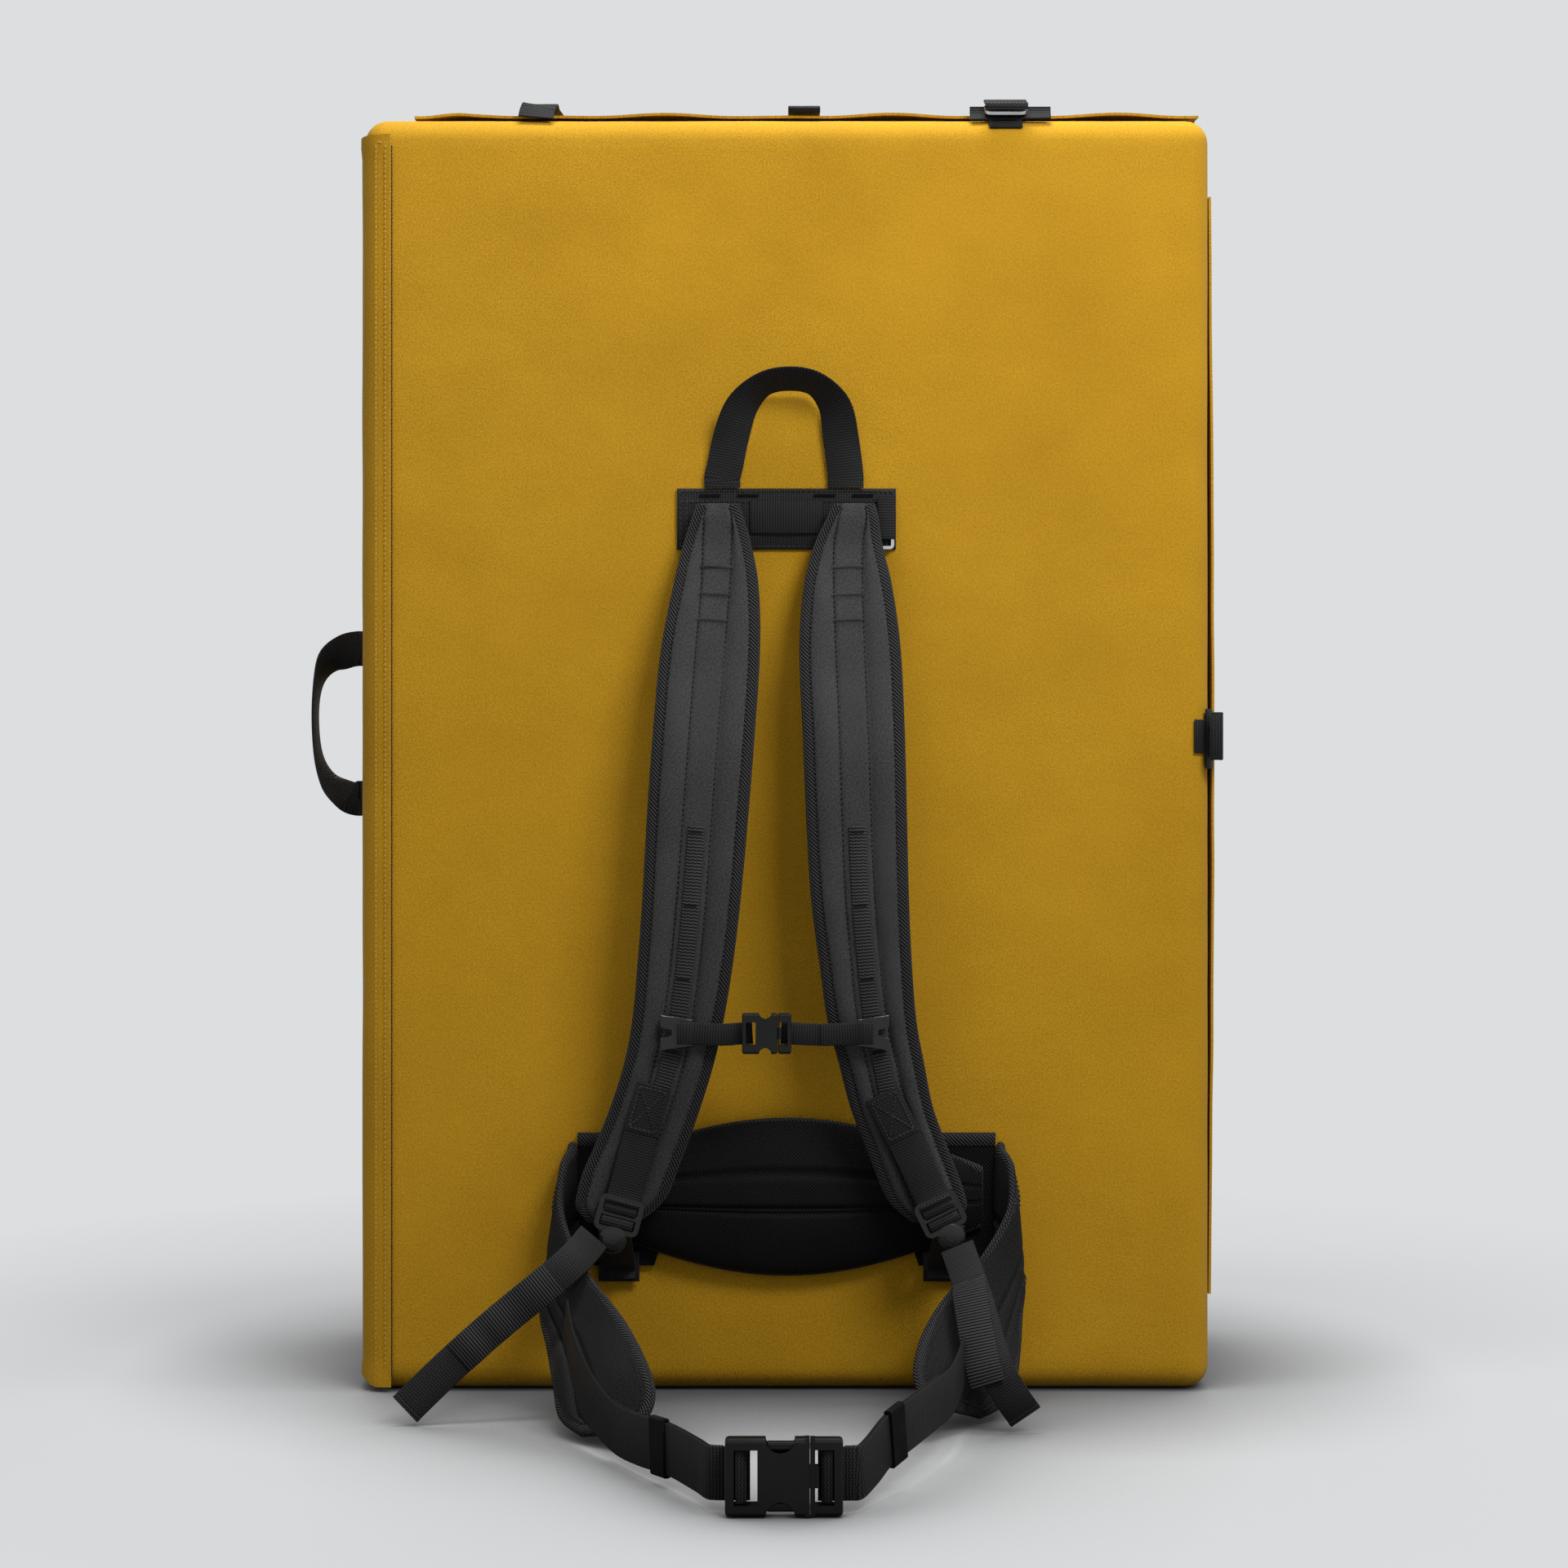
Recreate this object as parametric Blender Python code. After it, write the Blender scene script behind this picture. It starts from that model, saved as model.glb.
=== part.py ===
"""Folding bouldering crash pad, closed for carrying, with its harness to the front (-Y).

Metres, +Z up. The origin is the middle of the harness half's bottom face.
Points in front of the pad are given by their distance in front of its front face.
"""

import math

import bmesh
import bpy
from mathutils import Matrix, Vector

# Pad halves
PAD_WIDTH = 0.711
PAD_HEIGHT = 1.067
HALF_THICKNESS = 0.127
HALF_GAP = 0.0005
EDGE_RADIUS = 0.020
EDGE_STEPS = 4
SHARP_ANGLE = math.radians(35)
COVER_WALL = 0.0015
LANDING_FOAM = 0.025
BASE_FOAM = 0.025
SEAT_GAP = 0.0003
SLIT_WIDTH = 0.005
SLIT_MARGIN = 0.070

# Fold, hinge tape and spine cover
FOLD_OFFSET = 0.0048
SPINE_OFFSET = 0.0035
SPINE_THICKNESS = 0.0020
SPINE_END_MARGIN = 0.012
SPINE_OPEN_GAP = 0.0035
LAP_THICKNESS = 0.0018
LAP_WIDTH = 0.025
LAP_STEPS = 8
TAPE_THICKNESS = 0.0020
TAPE_WIDTH = 0.030

# Webbing
WEBBING_THICKNESS = 0.0016
WIDE_WEBBING = 0.051
HANDLE_WEBBING = 0.030
STRAP_WEBBING = 0.028
BELT_WEBBING = 0.038
CHEST_WEBBING = 0.018
RAIL_WEBBING = 0.014

# Side handle
HANDLE_TOP = 0.646
HANDLE_SPAN = 0.166
HANDLE_REACH = 0.045

# Top flap, side flap and their closures
FLAP_THICKNESS = 0.0020
FLAP_FREE_EDGE = 0.018
TOP_FLAP_LEFT = 0.042
TOP_FLAP_RIGHT = 0.005
TOP_FLAP_RISE = 0.007
TOP_FLAP_WAVE = 0.0022
TOP_FLAP_WAVES = 7
SIDE_FLAP_BOTTOM = 0.078
SIDE_FLAP_TOP = 0.064
SIDE_FLAP_BULGE = 0.003
TAB_WIDTH = 0.030
TAB_CENTRE = -0.207
TAB_LENGTH = 0.030
TOP_CLOSURE_CENTRE = 0.184
SIDE_CLOSURE_HEIGHT = 0.548
CLOSURE_LENGTH = 0.060
HOOK_WIDTH = 0.036
HOOK_LENGTH = 0.020
HOOK_BAR = 0.0045
HOOK_THICKNESS = 0.0026
TOP_HOOK_TILT = math.radians(32)
SIDE_HOOK_TILT = math.radians(10)
HOOK_LIFT = math.radians(45)
ANCHOR_START = math.radians(18)
ANCHOR_END = math.radians(72)

# Yoke, rings and grab loop
YOKE_WIDTH = 0.183
YOKE_TOP = 0.755
LEFT_RING_X = -0.056
RIGHT_RING_X = 0.066
RING_HEIGHT = 0.712
RING_WIDTH = 0.048
RING_LENGTH = 0.016
RING_WIRE = 0.0026
RING_CORNER_SHARE = 1.4
GRAB_SPAN = 0.103
GRAB_RISE = 0.089
GRAB_STANDOFF = 0.015
GRAB_CENTRE = -0.002
GRAB_LIFT = 0.0025

# Shoulder straps
STRAP_TOP = 0.741
STRAP_DROP = 0.592
STRAP_WIDTH = 0.082
STRAP_THICKNESS = 0.014
STRAP_BINDING = 0.006
STRAP_GROOVE = 0.0018
STRAP_STANDOFF = 0.046
SWELL_POWER = 0.6
PAD_END_SHARE = 0.45
PAD_END_RATE = 8
GROOVE_HALF_SHARE = 0.02
LEFT_STRAP_TOP = -0.057
LEFT_STRAP_SPREAD = 0.085
RIGHT_STRAP_TOP = 0.056
RIGHT_STRAP_SPREAD = 0.066

# Ladder-locks, adjusters and tails
LOCK_WIDTH = 0.037
LOCK_LENGTH = 0.030
LOCK_BAR = 0.0040
LOCK_THICKNESS = 0.0040
LOCK_TAB = 0.013
LOCK_TAB_WIDTH_SHARE = 0.32
LOCK_TAB_THICKNESS_SHARE = 0.9
LOCK_TAB_PLACE_SHARE = 0.35
LOCK_BAR_SHARE = 0.33
LEFT_LOCK_TURN = math.radians(-15)
RIGHT_LOCK_TURN = math.radians(26)
LEFT_LOCK_X = -0.133
RIGHT_LOCK_X = 0.120
LOCK_HEIGHT = 0.169
LOCK_DEPTH = 0.054
LOCK_STRAP = 0.074
TAB_BASE_WIDTH = 0.034
TAB_BASE_HEIGHT = 0.025
ANCHOR_DROP = 0.051
LEFT_ADJUSTER_DROP = 0.0049
RIGHT_ADJUSTER_DROP = 0.0067
ADJUSTER_FOOT_SHARE = 0.9
ADJUSTER_BEND_SHARE = 0.6
ADJUSTER_END_SHARE = 0.95

# Sternum strap
CHEST_LIFT = 0.0014
CHEST_SLIDER_WIDTH = 0.022
CHEST_SLIDER_HEIGHT = 0.026
CHEST_SLIDER_THICKNESS = 0.004
CHEST_BUCKLE_X = -0.016
CHEST_BUCKLE_LENGTH = 0.040
CHEST_BUCKLE_HEIGHT = 0.033
CHEST_BUCKLE_THICKNESS = 0.009

# Lumbar pad
LUMBAR_WIDTH = 0.340
LUMBAR_BASE_BOTTOM = 0.106
LUMBAR_BASE_HEIGHT = 0.110
LUMBAR_BASE_THICKNESS = 0.004
LUMBAR_PAD_WIDTH = 0.326
LUMBAR_PAD_MIDDLE = 0.164
LUMBAR_PAD_HEIGHT = 0.130
LUMBAR_PAD_END = 0.050
LUMBAR_THICKNESS = 0.021
LUMBAR_EDGE = 0.005
LUMBAR_GROOVE = 0.003

# Hip belt
WING_HEIGHT = 0.208
WING_SPREAD = 0.200
WING_REACH = 0.205
WING_THICKNESS = 0.012
WING_EDGE = 0.005
BELT_REACH = 0.374
BELT_SPREAD = 0.180
BELT_RISE = 0.080
KEEPER_WIDTH = 0.020
KEEPER_GAP = 0.0008
BUCKLE_LENGTH = 0.082
BUCKLE_HEIGHT = 0.054
BUCKLE_THICKNESS = 0.013
BUCKLE_CENTRE = -0.002
BUCKLE_WALL = 0.0022
BUCKLE_SPLIT_SHARE = 0.72
BUCKLE_BAR_SHARE = 0.075
BUCKLE_SLOT_SHARE = 0.20
PLUG_SLOT_SHARE = 0.165
BUCKLE_WEBBING_SHARE = 0.212
BUCKLE_ARM_SHARE = 0.37
BUCKLE_ROUND_SHARE = 0.4
NOTCH_RADIUS_SHARE = 0.125
NOTCH_PLACE_SHARE = 0.68
PLUG_THICKNESS_SHARE = 0.85
TONGUE_LENGTH_SHARE = 0.8
TONGUE_HEIGHT_SHARE = 0.28
LATCH_WIDTH = 0.0060
LATCH_CLEARANCE = 0.0006
FLOOR_GAP = 0.0006

# Shape shares, chosen by hand: (down the strap, sideways, width, stand-off)
LEFT_STRAP_SHARES = [
    (0.00, 0.000, 0.41, 0.10), (0.02, 0.000, 0.51, 0.115), (0.06, 0.006, 0.68, 0.15),
    (0.12, 0.018, 0.85, 0.33), (0.21, 0.068, 0.98, 0.57), (0.33, 0.130, 1.00, 0.80),
    (0.44, 0.185, 0.99, 0.93), (0.55, 0.240, 0.96, 1.00), (0.64, 0.300, 0.93, 1.00),
    (0.72, 0.373, 0.89, 0.96), (0.78, 0.460, 0.875, 0.91), (0.84, 0.590, 0.88, 0.85),
    (0.89, 0.720, 0.90, 0.80), (0.93, 0.835, 0.92, 0.77), (0.96, 0.906, 0.90, 0.75),
    (0.98, 0.965, 0.80, 0.74), (1.00, 1.000, 0.50, 0.74),
]
RIGHT_STRAP_SHARES = [
    (0.00, 0.000, 0.41, 0.10), (0.02, -0.015, 0.51, 0.115), (0.06, -0.070, 0.68, 0.15),
    (0.12, -0.076, 0.88, 0.33), (0.21, -0.053, 1.00, 0.57), (0.33, -0.010, 1.00, 0.80),
    (0.44, 0.020, 0.985, 0.93), (0.55, 0.060, 0.955, 1.00), (0.64, 0.130, 0.90, 1.00),
    (0.72, 0.210, 0.865, 0.96), (0.78, 0.330, 0.83, 0.91), (0.84, 0.455, 0.805, 0.85),
    (0.89, 0.620, 0.80, 0.80), (0.93, 0.760, 0.80, 0.77), (0.96, 0.860, 0.79, 0.75),
    (0.98, 0.940, 0.71, 0.74), (1.00, 1.000, 0.45, 0.74),
]
STRAP_ACROSS_SHARES = [0.0, 0.07, 0.20, 0.34, 0.38, 0.50, 0.62, 0.66, 0.80, 0.93, 1.0]
STRAP_GROOVE_SHARES = (0.38, 0.62)
RAIL_SHARES = (0.46, 0.83)
CHEST_SHARE = 0.735

# Grab loop: (sideways, stand-off, rise) and the direction across the webbing
GRAB_SHARES = [
    ((-0.50, 0.00, 0.00), (1.0, 0.0, 0.0)), ((-0.50, 0.00, 0.05), (1.0, 0.0, 0.0)),
    ((-0.50, 0.00, 0.10), (1.0, 0.0, 0.0)),
    ((-0.475, 0.03, 0.22), (1.0, 0.0, 0.0)),
    ((-0.43, 0.12, 0.47), (1.0, 0.1, -0.1)), ((-0.34, 0.50, 0.76), (0.7, 0.5, -0.4)),
    ((-0.17, 0.88, 0.95), (0.2, 0.8, -0.5)), ((0.05, 1.00, 1.00), (0.0, 0.84, -0.54)),
    ((0.26, 0.88, 0.95), (-0.2, 0.8, -0.5)), ((0.41, 0.50, 0.76), (-0.7, 0.5, -0.4)),
    ((0.46, 0.12, 0.47), (-1.0, 0.1, -0.1)), ((0.49, 0.03, 0.22), (-1.0, 0.0, 0.0)),
    ((0.50, 0.00, 0.10), (-1.0, 0.0, 0.0)), ((0.50, 0.00, 0.05), (-1.0, 0.0, 0.0)),
    ((0.50, 0.00, 0.00), (-1.0, 0.0, 0.0)),
]
# Side handle: (reach, down the span) and the direction across the webbing
HANDLE_SHARES = [
    ((0.00, 0.130), (0, 0.00, -1.00)), ((0.10, 0.130), (0, 0.00, -1.00)), ((0.20, 0.130), (0, 0.00, -1.00)),
    ((0.42, 0.145), (0, 0.25, -0.97)), ((0.74, 0.200), (0, 0.65, -0.76)), ((0.94, 0.310), (0, 0.92, -0.38)),
    ((1.00, 0.480), (0, 1.00, 0.00)),
    ((0.94, 0.680), (0, 0.95, 0.30)), ((0.74, 0.810), (0, 0.80, 0.60)), ((0.42, 0.885), (0, 0.50, 0.87)),
    ((0.20, 0.905), (0, 0.00, 1.00)), ((0.10, 0.905), (0, 0.00, 1.00)), ((0.00, 0.905), (0, 0.00, 1.00)),
]
# Wing edges, from the seam to the tip: outer edge and inner edge, each
# (sideways, reach, height)
LEFT_WING_SHARES = [
    ((-0.895, 0.000, 0.500), (-0.895, 0.000, 1.000)),
    ((-0.895, 0.025, 0.500), (-0.895, 0.025, 1.000)),
    ((-0.900, 0.050, 0.490), (-0.900, 0.050, 0.980)),
    ((-0.940, 0.095, 0.465), (-0.925, 0.110, 0.920)),
    ((-0.985, 0.145, 0.430), (-0.925, 0.190, 0.750)),
    ((-1.000, 0.245, 0.350), (-0.820, 0.350, 0.560)),
    ((-0.960, 0.400, 0.260), (-0.640, 0.600, 0.400)),
    ((-0.915, 0.600, 0.150), (-0.530, 0.850, 0.270)),
    ((-0.880, 0.735, 0.065), (-0.510, 0.950, 0.175)),
    ((-0.790, 0.850, 0.030), (-0.570, 1.000, 0.080)),
]
RIGHT_WING_SHARES = [
    ((0.895, 0.000, 0.500), (0.895, 0.000, 1.000)),
    ((0.895, 0.025, 0.500), (0.895, 0.025, 1.000)),
    ((0.900, 0.050, 0.490), (0.900, 0.050, 0.980)),
    ((0.935, 0.095, 0.470), (0.930, 0.110, 0.920)),
    ((0.970, 0.140, 0.440), (0.915, 0.180, 0.760)),
    ((0.960, 0.220, 0.350), (0.790, 0.280, 0.580)),
    ((0.945, 0.305, 0.240), (0.640, 0.420, 0.460)),
    ((0.920, 0.400, 0.140), (0.540, 0.590, 0.350)),
    ((0.860, 0.490, 0.060), (0.500, 0.740, 0.240)),
    ((0.760, 0.560, 0.030), (0.530, 0.830, 0.140)),
]
WING_ACROSS_SHARES = [0.0, 0.10, 0.30, 0.50, 0.70, 0.90, 1.0]
LUMBAR_ALONG_SHARES = [0.0, 0.02, 0.06, 0.12, 0.20, 0.30, 0.40, 0.50,
                       0.60, 0.70, 0.80, 0.88, 0.94, 0.98, 1.0]
LUMBAR_ACROSS_SHARES = [0.0, 0.06, 0.14, 0.26, 0.38, 0.42, 0.46, 0.54,
                        0.62, 0.66, 0.70, 0.80, 0.92, 1.0]
LUMBAR_GROOVE_SHARES = (0.42, 0.66)
# Belt webbing centre line, from the wing to the buckle: (sideways, reach, height)
LEFT_BELT_SHARES = [
    (-0.972, 0.305, 1.050), (-0.915, 0.425, 0.755), (-0.822, 0.530, 0.475),
    (-0.717, 0.620, 0.330), (-0.611, 0.711, 0.325), (-0.478, 0.816, 0.360),
    (-0.360, 0.920, 0.350),
]
RIGHT_BELT_SHARES = [
    (0.778, 0.350, 0.700), (0.733, 0.460, 0.625), (0.689, 0.555, 0.590),
    (0.628, 0.642, 0.590), (0.517, 0.775, 0.570), (0.410, 0.869, 0.510),
    (0.340, 0.930, 0.400),
]
# Its last rows before the buckle: (out along the buckle's length, behind it by its thickness)
BELT_LEAD_SHARES = [(0.165, 0.35), (0.10, 0.06)]
# Tails, from beside the ladder-lock: (sideways, depth, height, across x, across z)
LEFT_TAIL_SHARES = [
    (0.520, 0.412, 1.000, 0.80, -0.60), (0.580, 0.640, 0.865, 0.72, -0.70),
    (0.765, 0.725, 0.510, 0.66, -0.75), (0.890, 0.797, 0.250, 0.66, -0.75),
    (1.000, 0.855, 0.000, 0.70, -0.71),
]
RIGHT_TAIL_SHARES = [
    (0.743, 0.415, 0.937, 0.90, 0.42), (0.785, 0.620, 0.760, 0.92, 0.35),
    (0.810, 0.800, 0.640, 0.92, 0.38), (0.870, 1.010, 0.320, 0.90, 0.40),
    (0.940, 1.040, 0.130, 0.90, 0.42), (1.000, 1.010, 0.000, 0.90, 0.42),
]
LEFT_TAIL_SPREAD = 0.302
RIGHT_TAIL_SPREAD = 0.187
TAIL_FOOT = 0.013
TAIL_RISE = 0.126
TAIL_DEPTH = 0.138
PATH_STEPS = 4

# Derived places
LEFT = -PAD_WIDTH / 2
RIGHT = PAD_WIDTH / 2
FRONT = -HALF_THICKNESS / 2
INNER = HALF_THICKNESS / 2
BACK_INNER = INNER + HALF_GAP
BACK = BACK_INNER + HALF_THICKNESS
FOLD_Y = INNER + HALF_GAP / 2
FOLD_X = LEFT - FOLD_OFFSET
SPINE_X = LEFT - SPINE_OFFSET
FRONT_SPINE_Y = FRONT + EDGE_RADIUS
BACK_SPINE_Y = BACK - EDGE_RADIUS
HINGE_Z = PAD_HEIGHT + SEAT_GAP + FLAP_THICKNESS / 2
FLAP_X = RIGHT + SEAT_GAP + FLAP_THICKNESS / 2
FREE_Y = FRONT + FLAP_FREE_EDGE
BUCKLE_Z = FLOOR_GAP + BUCKLE_HEIGHT / 2
CHEST_HEIGHT = STRAP_TOP - STRAP_DROP * CHEST_SHARE


def front(depth):
    """The Y of a point that lies this far in front of the front face."""
    return FRONT - depth


def clear_scene():
    for item in list(bpy.data.objects):
        bpy.data.objects.remove(item, do_unlink=True)


def make_material(name, colour, roughness, metallic=0.0):
    material = bpy.data.materials.new(name)
    material.use_nodes = True
    shader = material.node_tree.nodes["Principled BSDF"]
    shader.inputs["Base Color"].default_value = (*colour, 1.0)
    shader.inputs["Roughness"].default_value = roughness
    shader.inputs["Metallic"].default_value = metallic
    material.diffuse_color = (*colour, 1.0)
    return material


LOOKS = {
    "cover": ((0.45, 0.24, 0.02), 0.85, 0.0),
    "closed_foam": ((0.20, 0.21, 0.23), 0.9, 0.0),
    "open_foam": ((0.75, 0.72, 0.55), 0.95, 0.0),
    "webbing": ((0.012, 0.012, 0.013), 0.75, 0.0),
    "padding": ((0.035, 0.035, 0.037), 0.9, 0.0),
    "plastic": ((0.02, 0.02, 0.022), 0.45, 0.0),
    "steel": ((0.62, 0.62, 0.63), 0.3, 1.0),
}


def make_empty(name, place, parent=None):
    """An empty on a joint's axis, which its body's pieces are parented to."""
    empty = bpy.data.objects.new(name, None)
    bpy.context.scene.collection.objects.link(empty)
    empty.parent = parent
    offset = Vector(place)
    if parent:
        offset = offset - Vector(parent["place"])
    empty.location = offset
    empty["place"] = list(place)
    return empty


def add_piece(name, bm, look, pivot, smooth=False):
    """Turns a mesh in world places into an object with its origin on its body's pivot."""
    bmesh.ops.recalc_face_normals(bm, faces=bm.faces)
    place = Vector(pivot["place"])
    bmesh.ops.translate(bm, verts=bm.verts, vec=-place)
    mesh = bpy.data.meshes.new(name)
    bm.to_mesh(mesh)
    bm.free()
    if smooth:
        mesh.shade_smooth()
        mesh.set_sharp_from_angle(angle=SHARP_ANGLE)
    mesh.materials.append(make_material(name + "_finish", *LOOKS[look]))
    piece = bpy.data.objects.new(name, mesh)
    bpy.context.scene.collection.objects.link(piece)
    piece.parent = pivot
    return piece


def cut(piece, name, bm, operation="DIFFERENCE"):
    """Cuts or joins a helper solid, in world places, with an exact Boolean."""
    helper = add_piece(name, bm, "plastic", piece.parent)
    helper.hide_render = True
    helper.display_type = "WIRE"
    modifier = piece.modifiers.new(name, "BOOLEAN")
    modifier.operation = operation
    modifier.solver = "EXACT"
    modifier.object = helper


def block(low, high, radius=0, steps=EDGE_STEPS):
    """A box between two corners, with its edges rounded where a radius is given."""
    low = Vector(low)
    high = Vector(high)
    bm = bmesh.new()
    bmesh.ops.create_cube(bm, size=1.0)
    bmesh.ops.scale(bm, verts=bm.verts, vec=high - low)
    bmesh.ops.translate(bm, verts=bm.verts, vec=(low + high) / 2)
    if radius:
        bmesh.ops.bevel(
            bm, geom=list(bm.edges), offset=radius, segments=steps, profile=0.5,
            affect="EDGES", clamp_overlap=True,
        )
    return bm


def slice_block(bm, y_from, y_to):
    """Keeps the part of a block between two Y planes, with both cuts closed."""
    for plane, keep_above in ((y_from, True), (y_to, False)):
        cut_geometry = bmesh.ops.bisect_plane(
            bm, geom=list(bm.verts) + list(bm.edges) + list(bm.faces),
            plane_co=(0, plane, 0), plane_no=(0, 1, 0),
            clear_inner=keep_above, clear_outer=not keep_above,
        )["geom_cut"]
        rim = [item for item in cut_geometry if isinstance(item, bmesh.types.BMEdge)]
        bmesh.ops.edgeloop_fill(bm, edges=rim)
    return bm


def smooth_points(points, steps=PATH_STEPS):
    """Points on a Catmull-Rom curve through tuples of any length."""
    result = []
    last = len(points) - 1
    for index in range(last):
        before = points[max(index - 1, 0)]
        start = points[index]
        end = points[index + 1]
        after = points[min(index + 2, last)]
        for step in range(steps):
            t = step / steps
            result.append(tuple(
                0.5 * (2 * b + (c - a) * t + (2 * a - 5 * b + 4 * c - d) * t * t
                       + (3 * b - a - 3 * c + d) * t * t * t)
                for a, b, c, d in zip(before, start, end, after)
            ))
    result.append(tuple(points[last]))
    return result


def grid_normals(grid):
    """A unit normal at each point of a grid, from its neighbours."""
    rows = len(grid)
    columns = len(grid[0])
    normals = []
    for i in range(rows):
        line = []
        for j in range(columns):
            along = grid[min(i + 1, rows - 1)][j] - grid[max(i - 1, 0)][j]
            across = grid[i][min(j + 1, columns - 1)] - grid[i][max(j - 1, 0)]
            line.append(along.cross(across).normalized())
        normals.append(line)
    return normals


def sheet(grid, upper, lower=None):
    """A closed solid round a grid: upper and lower give the thickness on each side."""
    rows = len(grid)
    columns = len(grid[0])
    normals = grid_normals(grid)
    bm = bmesh.new()
    faces = []
    for sign, thickness in ((1.0, upper), (-1.0, lower or upper)):
        layer = []
        for i in range(rows):
            line = []
            for j in range(columns):
                amount = thickness
                if callable(thickness):
                    amount = thickness(i / (rows - 1), j / (columns - 1))
                line.append(bm.verts.new(grid[i][j] + normals[i][j] * amount * sign))
            layer.append(line)
        faces.append(layer)
    top, bottom = faces
    for i in range(rows - 1):
        for j in range(columns - 1):
            bm.faces.new((top[i][j], top[i + 1][j], top[i + 1][j + 1], top[i][j + 1]))
            bm.faces.new((bottom[i][j], bottom[i][j + 1], bottom[i + 1][j + 1], bottom[i + 1][j]))
    for i in range(rows - 1):
        for j in (0, columns - 1):
            bm.faces.new((top[i][j], bottom[i][j], bottom[i + 1][j], top[i + 1][j]))
    for j in range(columns - 1):
        for i in (0, rows - 1):
            bm.faces.new((top[i][j], top[i][j + 1], bottom[i][j + 1], bottom[i][j]))
    return bm


def webbing(path, width, thickness=WEBBING_THICKNESS):
    """Flat webbing along a path of (point, direction across it)."""
    grid = []
    last = len(path) - 1
    for index, (point, direction) in enumerate(path):
        tangent = (path[min(index + 1, last)][0] - path[max(index - 1, 0)][0]).normalized()
        across = direction - tangent * direction.dot(tangent)
        across = across.normalized() * width / 2
        grid.append([point - across, point, point + across])
    return sheet(grid, thickness / 2)


def webbing_path(rows, steps=PATH_STEPS):
    """A smooth path of (point, direction) from rows of ((x, y, z), (across))."""
    flat = smooth_points([(*point, *direction) for point, direction in rows], steps)
    return [(Vector(row[:3]), Vector(row[3:])) for row in flat]


def ring_outline(width, length, radius, steps=4):
    """A rectangle with rounded corners, anticlockwise, round the origin."""
    points = []
    for x_sign, y_sign, start in ((1, 1, 0), (-1, 1, 1), (-1, -1, 2), (1, -1, 3)):
        for step in range(steps + 1):
            angle = (start + step / steps) * math.pi / 2
            points.append((
                x_sign * (width / 2 - radius) + radius * math.cos(angle),
                y_sign * (length / 2 - radius) + radius * math.sin(angle),
            ))
    return points


def ring_plate(width, length, bar, thickness, place):
    """A flat rectangular ring, put in place by a matrix: width on X, length on Y."""
    bm = bmesh.new()
    loops = []
    for inset in (0, bar):
        outline = ring_outline(width - 2 * inset, length - 2 * inset, bar * RING_CORNER_SHARE - inset)
        for side in (-1, 1):
            loops.append([bm.verts.new((x, y, side * thickness / 2)) for x, y in outline])
    outer_low, outer_high, inner_low, inner_high = loops
    count = len(outer_low)
    for k in range(count):
        n = (k + 1) % count
        bm.faces.new((outer_low[k], outer_low[n], outer_high[n], outer_high[k]))
        bm.faces.new((inner_low[n], inner_low[k], inner_high[k], inner_high[n]))
        bm.faces.new((outer_high[k], outer_high[n], inner_high[n], inner_high[k]))
        bm.faces.new((outer_low[n], outer_low[k], inner_low[k], inner_low[n]))
    bmesh.ops.transform(bm, matrix=place, verts=bm.verts)
    return bm


def corner_strip(centre, plane, start, end, low, high, thickness, flat=0):
    """A strip that follows a rounded edge of the pad, from one angle to another.

    The edge runs along Z when plane is "xy", along X when it is "yz". A flat
    length may run on past the end angle.
    """
    radius = EDGE_RADIUS + SEAT_GAP + thickness / 2
    grid = []
    for end_place in (low, high):
        line = []
        for step in range(LAP_STEPS + 1):
            angle = start + (end - start) * step / LAP_STEPS
            a = centre[0] + radius * math.cos(angle)
            b = centre[1] + radius * math.sin(angle)
            line.append(Vector((a, b, end_place)) if plane == "xy" else Vector((end_place, a, b)))
        if flat:
            tangent = (line[-1] - line[-2]).normalized()
            straight = Vector([round(value) for value in tangent])
            line.append(line[-1] + straight * flat)
        grid.append(line)
    return sheet(grid, thickness / 2)


def add_half(prefix, y_low, y_high, landing_at_high, pivot):
    """One half of the pad: the hollow cover with its slit, and three foam layers in it."""
    shell = add_piece(
        prefix + "_cover", block((LEFT, y_low, 0), (RIGHT, y_high, PAD_HEIGHT), EDGE_RADIUS),
        "cover", pivot, smooth=True,
    )
    wall = Vector((COVER_WALL, COVER_WALL, COVER_WALL))
    low = Vector((LEFT, y_low, 0)) + wall
    high = Vector((RIGHT, y_high, PAD_HEIGHT)) - wall
    cut(shell, prefix + "_cavity", block(low, high, EDGE_RADIUS - COVER_WALL))
    middle = (y_low + y_high) / 2
    slit = block(
        (high.x - EDGE_RADIUS, middle - SLIT_WIDTH / 2, SLIT_MARGIN),
        (RIGHT + EDGE_RADIUS, middle + SLIT_WIDTH / 2, PAD_HEIGHT - SLIT_MARGIN),
    )
    cut(shell, prefix + "_slit", slit)

    seat = Vector((SEAT_GAP, SEAT_GAP, SEAT_GAP))
    low += seat
    high -= seat
    lower, upper = (BASE_FOAM, LANDING_FOAM) if landing_at_high else (LANDING_FOAM, BASE_FOAM)
    names = ("_base_foam", "_core_foam", "_landing_foam")
    if not landing_at_high:
        names = names[::-1]
    planes = (
        (low.y - COVER_WALL, low.y + lower),
        (low.y + lower + SEAT_GAP, high.y - upper - SEAT_GAP),
        (high.y - upper, high.y + COVER_WALL),
    )
    for name, (y_from, y_to) in zip(names, planes):
        layer = block(low, high, EDGE_RADIUS - COVER_WALL - SEAT_GAP)
        look = "open_foam" if "core" in name else "closed_foam"
        add_piece(prefix + name, slice_block(layer, y_from, y_to), look, pivot)


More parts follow.
